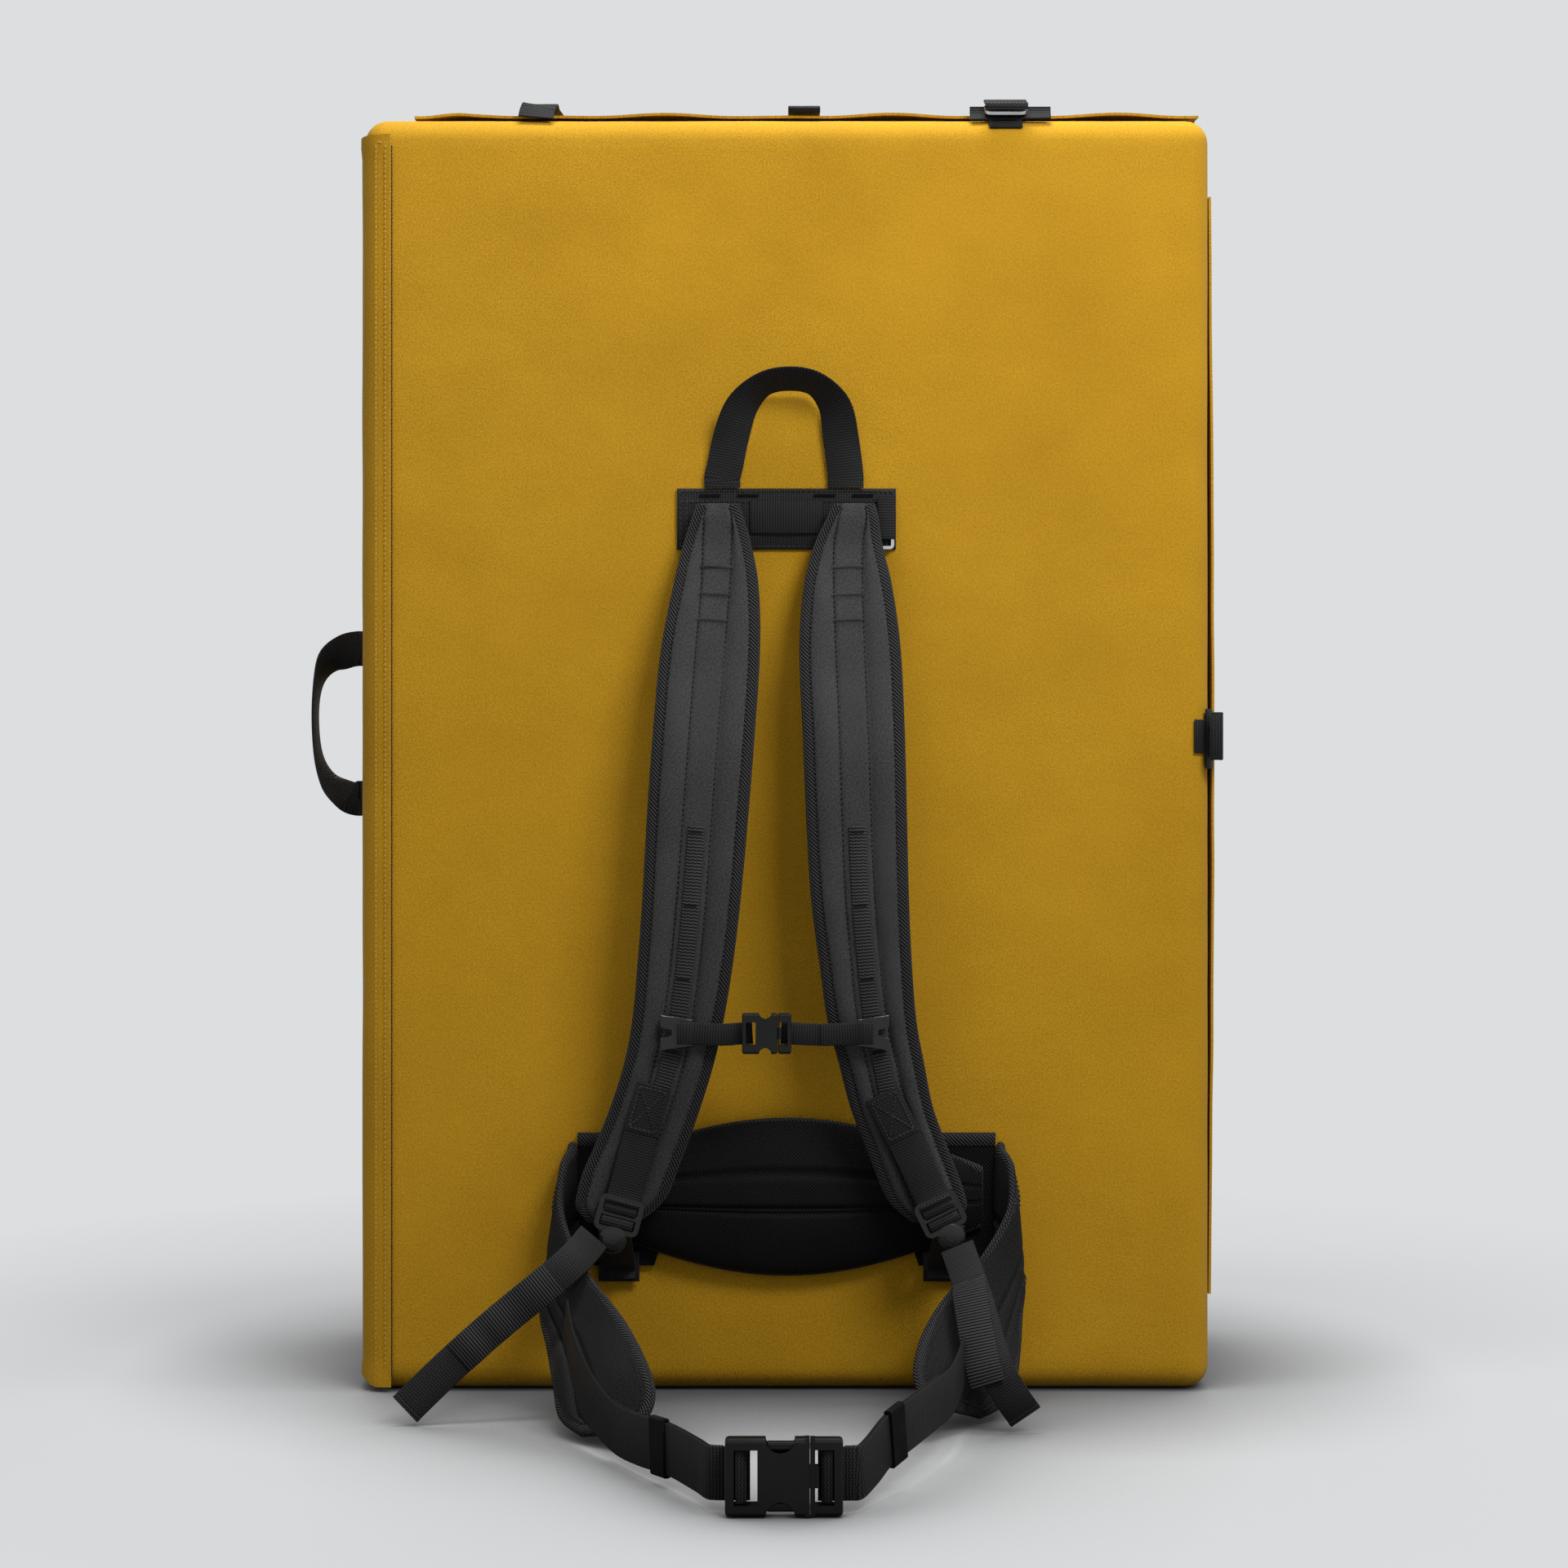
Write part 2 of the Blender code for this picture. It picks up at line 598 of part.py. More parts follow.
def add_spine(root, back):
    """The laps on both faces, the hinge tape, and the spine cover in two hinged panels."""
    low = SPINE_END_MARGIN
    high = PAD_HEIGHT - SPINE_END_MARGIN
    edge = LEFT + EDGE_RADIUS
    flat = LAP_WIDTH - EDGE_RADIUS
    laps = (
        ("front_spine_lap", root, FRONT_SPINE_Y, math.pi, 1.5 * math.pi),
        ("back_spine_lap", back, BACK_SPINE_Y, math.pi, 0.5 * math.pi),
    )
    for name, pivot, y, start, end in laps:
        strip = corner_strip((edge, y), "xy", start, end, EDGE_RADIUS, PAD_HEIGHT - EDGE_RADIUS,
                             LAP_THICKNESS, flat)
        add_piece(name, strip, "cover", pivot, smooth=True)

    outside = LEFT - SEAT_GAP
    bottom = EDGE_RADIUS
    top = PAD_HEIGHT - EDGE_RADIUS
    tapes = (
        ("front_hinge_tape", root, INNER - TAPE_WIDTH, INNER),
        ("back_hinge_tape", back, BACK_INNER, BACK_INNER + TAPE_WIDTH),
    )
    for name, pivot, y_from, y_to in tapes:
        tape = block((outside - TAPE_THICKNESS, y_from, bottom), (outside, y_to, top))
        add_piece(name, tape, "webbing", pivot)

    front_hinge = make_empty("front_spine_hinge", (SPINE_X, FRONT_SPINE_Y, 0), root)
    back_hinge = make_empty("back_spine_hinge", (SPINE_X, BACK_SPINE_Y, 0), back)
    half = SPINE_THICKNESS / 2
    panels = (
        ("spine_front_panel", front_hinge, FRONT_SPINE_Y, FOLD_Y - SPINE_OPEN_GAP),
        ("spine_back_panel", back_hinge, FOLD_Y + SPINE_OPEN_GAP, BACK_SPINE_Y),
    )
    for name, pivot, y_from, y_to in panels:
        panel = block((SPINE_X - half, y_from, low), (SPINE_X + half, y_to, high))
        add_piece(name, panel, "cover", pivot)

    start_x = SPINE_X - half - SEAT_GAP
    handle_y = 0
    handle = make_empty("handle_hinge", (start_x, handle_y, 0), front_hinge)
    rows = [
        ((start_x - HANDLE_REACH * reach, handle_y, HANDLE_TOP - HANDLE_SPAN * down), across)
        for (reach, down), across in HANDLE_SHARES
    ]
    add_piece("side_handle", webbing(webbing_path(rows), HANDLE_WEBBING), "webbing", handle, smooth=True)


def closure(flap_pivot, name, origin, along, across, tilt):
    """A closing strap on a flap, the steel hook on its end, and the anchor's place."""
    outward = Vector(across).cross(Vector(along))
    along = Vector(along)
    across = Vector(across)
    seat = origin + outward * (FLAP_THICKNESS / 2 + SEAT_GAP + WEBBING_THICKNESS / 2)
    path = [(seat - along * CLOSURE_LENGTH * share, across) for share in (1.0, 0.75, 0.5, 0.25, 0.0)]
    strap = webbing(path, STRAP_WEBBING)
    add_piece(name + "_closing_strap", strap, "webbing", flap_pivot, smooth=True)

    widest_turn = max(tilt, HOOK_LIFT - tilt)
    hinge_place = seat + along * (SEAT_GAP + HOOK_THICKNESS * math.sin(widest_turn) / 2)
    hinge = make_empty(name + "_hook_hinge", hinge_place, flap_pivot)
    direction = along * math.cos(tilt) - outward * math.sin(tilt)
    normal = across.cross(direction)
    middle = hinge_place + direction * (HOOK_LENGTH / 2)
    frame = Matrix.Translation(middle) @ Matrix((across, direction, normal)).transposed().to_4x4()
    hook = ring_plate(HOOK_WIDTH, HOOK_LENGTH, HOOK_BAR, HOOK_THICKNESS, frame)
    add_piece(name + "_hook", hook, "steel", hinge, smooth=True)


def add_flaps(root, back):
    """Both closing flaps, hinged on the back half, with what is sewn on them."""
    top = make_empty("top_flap_hinge", (0, BACK_SPINE_Y, HINGE_Z), back)
    rows = 10
    columns = 40
    left = LEFT + TOP_FLAP_LEFT
    right = RIGHT - TOP_FLAP_RIGHT
    grid = []
    for i in range(rows + 1):
        share = i / rows
        line = []
        for j in range(columns + 1):
            across = j / columns
            wave = TOP_FLAP_WAVE * math.sin(across * TOP_FLAP_WAVES * 2 * math.pi)
            rise = (TOP_FLAP_RISE + wave) * share * share
            line.append(Vector((
                left + (right - left) * across,
                BACK_SPINE_Y + (FREE_Y - BACK_SPINE_Y) * share,
                HINGE_Z + rise,
            )))
        grid.append(line)
    add_piece("top_flap", sheet(grid, FLAP_THICKNESS / 2), "cover", top, smooth=True)
    peak = HINGE_Z + TOP_FLAP_RISE + TOP_FLAP_WAVE

    tab_z = peak + FLAP_THICKNESS / 2 + SEAT_GAP + WEBBING_THICKNESS / 2
    tab = [(Vector((TAB_CENTRE, FREE_Y + TAB_LENGTH * (1 - share), tab_z)), Vector((1, 0, 0)))
           for share in (0.0, 0.5, 1.0)]
    add_piece("top_flap_tab", webbing(tab, TAB_WIDTH), "webbing", top)
    origin = Vector((TOP_CLOSURE_CENTRE, FREE_Y, peak))
    closure(top, "top", origin, (0, -1, 0), (-1, 0, 0), TOP_HOOK_TILT)
    edge = (FRONT_SPINE_Y, PAD_HEIGHT - EDGE_RADIUS)
    half = STRAP_WEBBING / 2
    anchor = corner_strip(edge, "yz", math.pi - ANCHOR_START, math.pi - ANCHOR_END,
                          TOP_CLOSURE_CENTRE - half, TOP_CLOSURE_CENTRE + half, WEBBING_THICKNESS)
    add_piece("top_hook_anchor", anchor, "webbing", root, smooth=True)

    side = make_empty("side_flap_hinge", (FLAP_X, BACK_SPINE_Y, 0), back)
    grid = []
    rows = 24
    columns = 6
    for i in range(rows + 1):
        share = i / rows
        line = []
        for j in range(columns + 1):
            across = j / columns
            bulge = SIDE_FLAP_BULGE * math.sin(share * math.pi) * across
            line.append(Vector((
                FLAP_X + bulge,
                BACK_SPINE_Y + (FREE_Y - BACK_SPINE_Y) * across,
                SIDE_FLAP_BOTTOM + (PAD_HEIGHT - SIDE_FLAP_TOP - SIDE_FLAP_BOTTOM) * share,
            )))
        grid.append(line)
    add_piece("side_flap", sheet(grid, FLAP_THICKNESS / 2), "cover", side, smooth=True)
    origin = Vector((FLAP_X + SIDE_FLAP_BULGE, FREE_Y, SIDE_CLOSURE_HEIGHT))
    closure(side, "side", origin, (0, -1, 0), (0, 0, 1), SIDE_HOOK_TILT)
    anchor = corner_strip((RIGHT - EDGE_RADIUS, FRONT_SPINE_Y), "xy", -ANCHOR_START, -ANCHOR_END,
                          SIDE_CLOSURE_HEIGHT - half, SIDE_CLOSURE_HEIGHT + half, WEBBING_THICKNESS)
    add_piece("side_hook_anchor", anchor, "webbing", root, smooth=True)


def add_yoke(root):
    """The wide band across the pad, its two rings, and the grab loop above it."""
    back_face = front(SEAT_GAP)
    band = block((-YOKE_WIDTH / 2, back_face - WEBBING_THICKNESS, YOKE_TOP - WIDE_WEBBING),
                 (YOKE_WIDTH / 2, back_face, YOKE_TOP))
    add_piece("yoke_band", band, "webbing", root)
    ring_y = back_face - WEBBING_THICKNESS - SEAT_GAP - RING_WIRE / 2
    for name, x in (("left_ring", LEFT_RING_X), ("right_ring", RIGHT_RING_X)):
        place = Matrix.Translation((x, ring_y, RING_HEIGHT)) @ Matrix.Rotation(math.pi / 2, 4, "X")
        add_piece(name, ring_plate(RING_WIDTH, RING_LENGTH, RING_WIRE, RING_WIRE, place),
                  "steel", root, smooth=True)

    foot = YOKE_TOP + SEAT_GAP
    pivot = make_empty("grab_loop_hinge", (0, front(GRAB_LIFT), foot), root)
    rows = []
    for (x, depth, rise), across in GRAB_SHARES:
        y = front(GRAB_LIFT + GRAB_STANDOFF * depth)
        rows.append(((GRAB_CENTRE + GRAB_SPAN * x, y, foot + GRAB_RISE * rise), across))
    add_piece("grab_loop", webbing(webbing_path(rows, 3), HANDLE_WEBBING), "webbing", pivot, smooth=True)


def strap_rows(top_x, spread, table, steps=2):
    """Rows of (centre, half width) down a shoulder strap's middle surface."""
    sign = math.copysign(1, top_x)
    rows = []
    for down, side, width, stand in smooth_points(table, steps):
        centre = Vector((
            top_x + sign * spread * side,
            front(STRAP_STANDOFF * stand + STRAP_THICKNESS / 2),
            STRAP_TOP - STRAP_DROP * down,
        ))
        rows.append((centre, STRAP_WIDTH * width / 2))
    return rows


def strap_point(rows, share):
    """The centre of a shoulder strap at a share of its drop."""
    height = STRAP_TOP - STRAP_DROP * share
    for (above, _), (below, _) in zip(rows, rows[1:]):
        if above.z >= height >= below.z:
            return above.lerp(below, (above.z - height) / (above.z - below.z))
    return rows[-1][0]


def padding(edge, full, grooves=(), groove=0):
    """Half the thickness of a pad over its width, with sewn grooves and thin ends."""
    def amount(along, across):
        swell = math.sin(math.pi * across) ** SWELL_POWER if 0 < across < 1 else 0
        ends = min(1.0, PAD_END_SHARE + PAD_END_RATE * along, PAD_END_SHARE + PAD_END_RATE * (1 - along))
        value = edge / 2 + (full - edge) / 2 * swell * ends
        if any(abs(across - place) < GROOVE_HALF_SHARE for place in grooves):
            value -= groove
        return value
    return amount


def pad_sheet(rows_left, rows_right, shares, amount):
    """A padded sheet between two edges, with its columns at the given shares."""
    grid = [[a.lerp(b, share) for share in shares] for a, b in zip(rows_left, rows_right)]
    count = len(shares) - 1

    def by_share(along, across):
        return amount(along, shares[round(across * count)])

    return sheet(grid, by_share)


def add_lock(name, pivot, top, turn):
    """A ladder-lock: a frame with a middle bar and a rounded lifting tab."""
    turned = Matrix.Translation(top) @ Matrix.Rotation(-turn, 4, "Y")
    flat = turned @ Matrix.Rotation(math.pi / 2, 4, "X")
    middle = flat @ Matrix.Translation((0, -LOCK_LENGTH / 2 + LOCK_BAR / 2, 0))
    frame = ring_plate(LOCK_WIDTH, LOCK_LENGTH, LOCK_BAR, LOCK_THICKNESS, middle)
    piece = add_piece(name, frame, "plastic", pivot, smooth=True)
    half = LOCK_WIDTH / 2 - LOCK_BAR / 2
    depth = LOCK_THICKNESS * LOCK_BAR_SHARE
    bar = block((-half, -LOCK_BAR / 2, -depth), (half, LOCK_BAR / 2, depth))
    bmesh.ops.transform(bar, matrix=middle, verts=bar.verts)
    cut(piece, name + "_bar", bar, "UNION")
    tab = bmesh.new()
    bmesh.ops.create_uvsphere(tab, u_segments=16, v_segments=8, radius=1.0)
    size = (LOCK_WIDTH * LOCK_TAB_WIDTH_SHARE, LOCK_TAB, LOCK_THICKNESS * LOCK_TAB_THICKNESS_SHARE)
    bmesh.ops.scale(tab, verts=tab.verts, vec=size)
    drop = LOCK_LENGTH / 2 + LOCK_TAB * LOCK_TAB_PLACE_SHARE
    place = middle @ Matrix.Translation((0, -drop, 0))
    bmesh.ops.transform(tab, matrix=place, verts=tab.verts)
    cut(piece, name + "_tab", tab, "UNION")


def add_strap(side, root):
    """One shoulder strap with its rail, lower webbing, ladder-lock, adjuster and tail."""
    left = side == "left"
    top_x = LEFT_STRAP_TOP if left else RIGHT_STRAP_TOP
    spread = LEFT_STRAP_SPREAD if left else RIGHT_STRAP_SPREAD
    table = LEFT_STRAP_SHARES if left else RIGHT_STRAP_SHARES
    turn = LEFT_LOCK_TURN if left else RIGHT_LOCK_TURN
    lock_x = LEFT_LOCK_X if left else RIGHT_LOCK_X
    rows = strap_rows(top_x, spread, table)
    hinge_y = rows[0][0].y
    hinge = make_empty(side + "_strap_hinge", (0, hinge_y, STRAP_TOP), root)
    edges = [
        [centre + Vector((half * sign, 0, 0)) for centre, half in rows]
        for sign in (-1, 1)
    ]
    amount = padding(STRAP_BINDING, STRAP_THICKNESS, STRAP_GROOVE_SHARES, STRAP_GROOVE)
    pad = pad_sheet(edges[0], edges[1], STRAP_ACROSS_SHARES, amount)
    add_piece(side + "_strap_pad", pad, "padding", hinge, smooth=True)

    surface = STRAP_THICKNESS / 2 + SEAT_GAP + WEBBING_THICKNESS / 2
    rail = []
    count = 8
    for step in range(count + 1):
        share = RAIL_SHARES[0] + (RAIL_SHARES[1] - RAIL_SHARES[0]) * step / count
        rail.append((strap_point(rows, share) - Vector((0, surface, 0)), Vector((1, 0, 0))))
    add_piece(side + "_strap_rail", webbing(rail, RAIL_WEBBING), "webbing", hinge, smooth=True)

    down = Vector((math.sin(turn), 0, -math.cos(turn)))
    across = Vector((math.cos(turn), 0, math.sin(turn)))
    lock_top = Vector((lock_x, front(LOCK_DEPTH), LOCK_HEIGHT))
    end = lock_top - down * (LOCK_BAR / 2 + SEAT_GAP)
    start = end - down * LOCK_STRAP
    path = [(start.lerp(end, share), across) for share in (0.0, 0.5, 1.0)]
    add_piece(side + "_lock_strap", webbing(path, STRAP_WEBBING), "webbing", hinge)

    lock_hinge = make_empty(side + "_lock_hinge", lock_top, hinge)
    add_lock(side + "_ladder_lock", lock_hinge, lock_top, turn)

    tab_x = lock_top.x + math.sin(turn) * ANCHOR_DROP / 2
    tab_z = LOCK_HEIGHT - ANCHOR_DROP
    seat = LUMBAR_BASE_THICKNESS + 2 * SEAT_GAP
    anchor = block(
        (tab_x - TAB_BASE_WIDTH / 2, front(seat + WEBBING_THICKNESS), tab_z - TAB_BASE_HEIGHT),
        (tab_x + TAB_BASE_WIDTH / 2, front(seat), tab_z),
    )
    add_piece(side + "_anchor_tab", anchor, "webbing", root)
    tab_front = seat + WEBBING_THICKNESS + SEAT_GAP + WEBBING_THICKNESS / 2
    low = Vector((tab_x, front(tab_front), tab_z - TAB_BASE_HEIGHT * ADJUSTER_FOOT_SHARE))
    bend = Vector((tab_x, front(tab_front), tab_z - TAB_BASE_HEIGHT * ADJUSTER_BEND_SHARE))
    high = lock_top + down * (LOCK_LENGTH * ADJUSTER_END_SHARE)
    high.y = front(LOCK_DEPTH - (LEFT_ADJUSTER_DROP if left else RIGHT_ADJUSTER_DROP))
    level = Vector((1, 0, 0))
    rows_up = [(low, level), (bend, level)]
    for share in (0.33, 0.67, 1.0):
        rows_up.append((bend.lerp(high, share), level.lerp(across, share)))
    add_piece(side + "_adjuster", webbing(rows_up, STRAP_WEBBING), "webbing", root, smooth=True)

    sign = -1 if left else 1
    reach = LEFT_TAIL_SPREAD if left else RIGHT_TAIL_SPREAD
    table = LEFT_TAIL_SHARES if left else RIGHT_TAIL_SHARES
    tail = [
        ((sign * reach * x, front(TAIL_DEPTH * depth), TAIL_FOOT + TAIL_RISE * rise), (ax, 0, az))
        for x, depth, rise, ax, az in table
    ]
    tail_hinge = make_empty(side + "_tail_hinge", (0, tail[0][0][1], LOCK_HEIGHT), lock_hinge)
    tail_webbing = webbing(webbing_path(tail), STRAP_WEBBING)
    add_piece(side + "_tail", tail_webbing, "webbing", tail_hinge, smooth=True)
    return rows, hinge


def add_buckle(prefix, pivot, centre, length, height, thickness, width, latches):
    """A side-release buckle lying along X: the housing, the plug and its two spring arms."""
    left = centre.x - length / 2
    right = centre.x + length / 2
    split = left + length * BUCKLE_SPLIT_SHARE
    bar = length * BUCKLE_BAR_SHARE
    slot = length * BUCKLE_SLOT_SHARE
    plug_slot = length * PLUG_SLOT_SHARE
    arm = length * BUCKLE_ARM_SHARE
    half_y = thickness / 2
    half_z = height / 2
    half_web = width / 2 + SEAT_GAP
    rounding = half_y * BUCKLE_ROUND_SHARE
    notch_radius = length * NOTCH_RADIUS_SHARE

    def local(x, y, z):
        return (x, centre.y + y, centre.z + z)

    housing = block(local(left, -half_y, -half_z), local(split, half_y, half_z), rounding, 2)
    housing = add_piece(prefix + "_buckle_housing", housing, "plastic", pivot, smooth=True)
    inner_y = half_y - BUCKLE_WALL
    inner_z = half_z - BUCKLE_WALL
    mouth = block(local(split - arm - bar / 2, -inner_y, -inner_z), local(split + bar, inner_y, inner_z))
    cut(housing, prefix + "_mouth", mouth)
    window = block(local(left + bar, -height, -half_web), local(left + bar + slot, height, half_web))
    cut(housing, prefix + "_window", window)
    for name, sign in (("_upper", 1), ("_lower", -1)):
        notch = bmesh.new()
        bmesh.ops.create_cone(notch, cap_ends=True, segments=24, radius1=notch_radius,
                              radius2=notch_radius, depth=height)
        place = Matrix.Translation(local(split - arm * NOTCH_PLACE_SHARE, 0, sign * half_z))
        bmesh.ops.transform(notch, matrix=place @ Matrix.Rotation(math.pi / 2, 4, "X"), verts=notch.verts)
        cut(housing, prefix + name + "_notch", notch)

    plug_pivot = make_empty(prefix + "_plug_slide", (split, centre.y, centre.z), pivot)
    plug_y = half_y * PLUG_THICKNESS_SHARE
    plug = block(local(split + SEAT_GAP, -plug_y, -half_z), local(right, plug_y, half_z), rounding, 2)
    plug = add_piece(prefix + "_buckle_plug", plug, "plastic", plug_pivot, smooth=True)
    window = block(local(right - bar - plug_slot, -height, -half_web), local(right - bar, height, half_web))
    cut(plug, prefix + "_plug_window", window)
    tongue_y = inner_y - LATCH_CLEARANCE
    tongue_z = half_z * TONGUE_HEIGHT_SHARE
    tongue = block(local(split - arm * TONGUE_LENGTH_SHARE, -tongue_y, -tongue_z),
                   local(split + bar, tongue_y, tongue_z))
    cut(plug, prefix + "_tongue", tongue, "UNION")
    if not latches:
        return plug_pivot
    for name, sign in (("_upper_latch", 1), ("_lower_latch", -1)):
        middle = sign * (inner_z - LATCH_CLEARANCE - LATCH_WIDTH / 2)
        hinge = make_empty(prefix + name + "_hinge", local(split, 0, middle), plug_pivot)
        spring = block(local(split - arm, -tongue_y, middle - LATCH_WIDTH / 2),
                       local(split, tongue_y, middle + LATCH_WIDTH / 2), LATCH_WIDTH / 4, 2)
        add_piece(prefix + name, spring, "plastic", hinge, smooth=True)
    return plug_pivot


def add_sternum(straps):
    """The chest strap: its two sliders on the rails, its webbing and its buckle."""
    left_rows, left_hinge = straps["left"]
    right_rows, _ = straps["right"]
    depth = STRAP_THICKNESS / 2 + CHEST_LIFT + WEBBING_THICKNESS + CHEST_SLIDER_THICKNESS / 2
    places = [strap_point(rows, CHEST_SHARE) - Vector((0, depth, 0)) for rows in (left_rows, right_rows)]
    slide = make_empty("sternum_slide", places[0], left_hinge)
    for name, place in zip(("left", "right"), places):
        frame = Matrix.Translation(place) @ Matrix.Rotation(math.pi / 2, 4, "X")
        slider = ring_plate(CHEST_SLIDER_WIDTH, CHEST_SLIDER_HEIGHT, LOCK_BAR,
                            CHEST_SLIDER_THICKNESS, frame)
        add_piece(name + "_sternum_slider", slider, "plastic", slide, smooth=True)

    webbing_y = min(place.y for place in places)
    behind = CHEST_BUCKLE_THICKNESS / 2 + SEAT_GAP + WEBBING_THICKNESS / 2
    centre = Vector((CHEST_BUCKLE_X, webbing_y - behind, CHEST_HEIGHT))
    half = CHEST_BUCKLE_LENGTH * (0.5 - BUCKLE_WEBBING_SHARE)
    for name, place, sign in (("left", places[0], -1), ("right", places[1], 1)):
        start = place - Vector((sign * (CHEST_SLIDER_WIDTH / 2 + SEAT_GAP), 0, 0))
        end = Vector((centre.x + sign * half, webbing_y, centre.z))
        path = webbing_path([(start, (0, 0, 1)), (start.lerp(end, 0.5), (0, 0, 1)), (end, (0, 0, 1))])
        add_piece(name + "_sternum_webbing", webbing(path, CHEST_WEBBING), "webbing", slide, smooth=True)
    add_buckle("sternum", slide, centre, CHEST_BUCKLE_LENGTH, CHEST_BUCKLE_HEIGHT,
               CHEST_BUCKLE_THICKNESS, CHEST_WEBBING, False)


def add_lumbar(root):
    """The lumbar pad: a flat panel and, on it, a lens-shaped cushion with two channels."""
    base = block(
        (-LUMBAR_WIDTH / 2, front(SEAT_GAP + LUMBAR_BASE_THICKNESS), LUMBAR_BASE_BOTTOM),
        (LUMBAR_WIDTH / 2, front(SEAT_GAP), LUMBAR_BASE_BOTTOM + LUMBAR_BASE_HEIGHT),
    )
    add_piece("lumbar_base", base, "padding", root)
    y = front(2 * SEAT_GAP + LUMBAR_BASE_THICKNESS + LUMBAR_EDGE / 2)
    bottom = []
    top = []
    for share in LUMBAR_ALONG_SHARES:
        x = (share - 0.5) * LUMBAR_PAD_WIDTH
        swell = math.cos((share - 0.5) * math.pi)
        half = (LUMBAR_PAD_END + (LUMBAR_PAD_HEIGHT - LUMBAR_PAD_END) * swell) / 2
        bottom.append(Vector((x, y, LUMBAR_PAD_MIDDLE - half)))
        top.append(Vector((x, y, LUMBAR_PAD_MIDDLE + half)))
    swollen = padding(LUMBAR_EDGE, 2 * LUMBAR_THICKNESS - LUMBAR_EDGE, LUMBAR_GROOVE_SHARES, LUMBAR_GROOVE)
    grid = [[a.lerp(b, share) for share in LUMBAR_ACROSS_SHARES] for a, b in zip(bottom, top)]
    along = len(LUMBAR_ALONG_SHARES) - 1
    across = len(LUMBAR_ACROSS_SHARES) - 1

    def crown(i_share, j_share):
        u = LUMBAR_ALONG_SHARES[round(i_share * along)]
        v = LUMBAR_ACROSS_SHARES[round(j_share * across)]
        return swollen(u, v)

    def flat(_i_share, _j_share):
        return LUMBAR_EDGE / 2

    add_piece("lumbar_pad", sheet(grid, crown, flat), "padding", root, smooth=True)


def belt_path(table, sign):
    """The belt webbing's path, standing on edge, from the wing to behind the buckle's window."""
    rows = [(BELT_SPREAD * x, front(BELT_REACH * reach), BELT_RISE * rise) for x, reach, rise in table]
    half_buckle = BUCKLE_THICKNESS / 2 * (PLUG_THICKNESS_SHARE if sign > 0 else 1)
    y = front(BELT_REACH - half_buckle - SEAT_GAP - WEBBING_THICKNESS / 2)
    last = BUCKLE_LENGTH * BUCKLE_WEBBING_SHARE
    end = BUCKLE_CENTRE + sign * BUCKLE_LENGTH / 2
    for out, behind in BELT_LEAD_SHARES:
        rows.append((end + sign * BUCKLE_LENGTH * out, y + BUCKLE_THICKNESS * behind, BUCKLE_Z))
    for inset in (0, last / 2, last):
        rows.append((end - sign * inset, y, BUCKLE_Z))
    return webbing_path([(row, (0, 0, 1)) for row in rows])


def add_belt(root):
    """The hip belt: padded wings, webbing with its keepers, and the big buckle."""
    hinge = make_empty("belt_hinge", (0, front(SEAT_GAP), WING_HEIGHT), root)
    for side, table in (("left", LEFT_WING_SHARES), ("right", RIGHT_WING_SHARES)):
        flat = smooth_points([(*outer, *inner) for outer, inner in table], 3)
        edges = []
        for start in (0, 3):
            edges.append([
                Vector((WING_SPREAD * row[start], front(SEAT_GAP + WING_REACH * row[start + 1]),
                        WING_HEIGHT * row[start + 2]))
                for row in flat
            ])
        wing = pad_sheet(edges[0], edges[1], WING_ACROSS_SHARES, padding(WING_EDGE, WING_THICKNESS))
        add_piece(side + "_hip_wing", wing, "padding", hinge, smooth=True)

    paths = {"left": belt_path(LEFT_BELT_SHARES, -1), "right": belt_path(RIGHT_BELT_SHARES, 1)}
    for side, path in paths.items():
        add_piece(side + "_belt_webbing", webbing(path, BELT_WEBBING), "webbing", hinge, smooth=True)
        index = len(path) - 2 - 6 * PATH_STEPS
        point = path[index][0]
        along = (path[index + 1][0] - path[index - 1][0]).normalized()
        up = (Vector((0, 0, 1)) - along * along.z).normalized()
        frame = Matrix.Translation(point) @ Matrix((up, along.cross(up), along)).transposed().to_4x4()
        wall = 2 * (KEEPER_GAP + WEBBING_THICKNESS)
        keeper = ring_plate(BELT_WEBBING + wall, WEBBING_THICKNESS + wall, WEBBING_THICKNESS,
                            KEEPER_WIDTH, frame)
        add_piece(side + "_belt_keeper", keeper, "webbing", hinge, smooth=True)
    centre = Vector((BUCKLE_CENTRE, front(BELT_REACH), BUCKLE_Z))
    add_buckle("belt", hinge, centre, BUCKLE_LENGTH, BUCKLE_HEIGHT, BUCKLE_THICKNESS, BELT_WEBBING, True)


def build_model():
    clear_scene()
    root = make_empty("root_frame", (0, 0, 0))
    back = make_empty("fold_hinge", (FOLD_X, FOLD_Y, 0), root)
    add_half("front", FRONT, INNER, True, root)
    add_half("back", BACK_INNER, BACK, False, back)
    add_spine(root, back)
    add_flaps(root, back)
    add_yoke(root)
    straps = {side: add_strap(side, root) for side in ("left", "right")}
    add_sternum(straps)
    add_lumbar(root)
    add_belt(root)


build_model()
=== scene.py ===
"""Looks of the folding bouldering crash pad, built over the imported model.

Metres, +Z up. The harness faces -Y. Depths are distances in front of the pad's front face.
"""

import math

import bpy
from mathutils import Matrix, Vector, noise


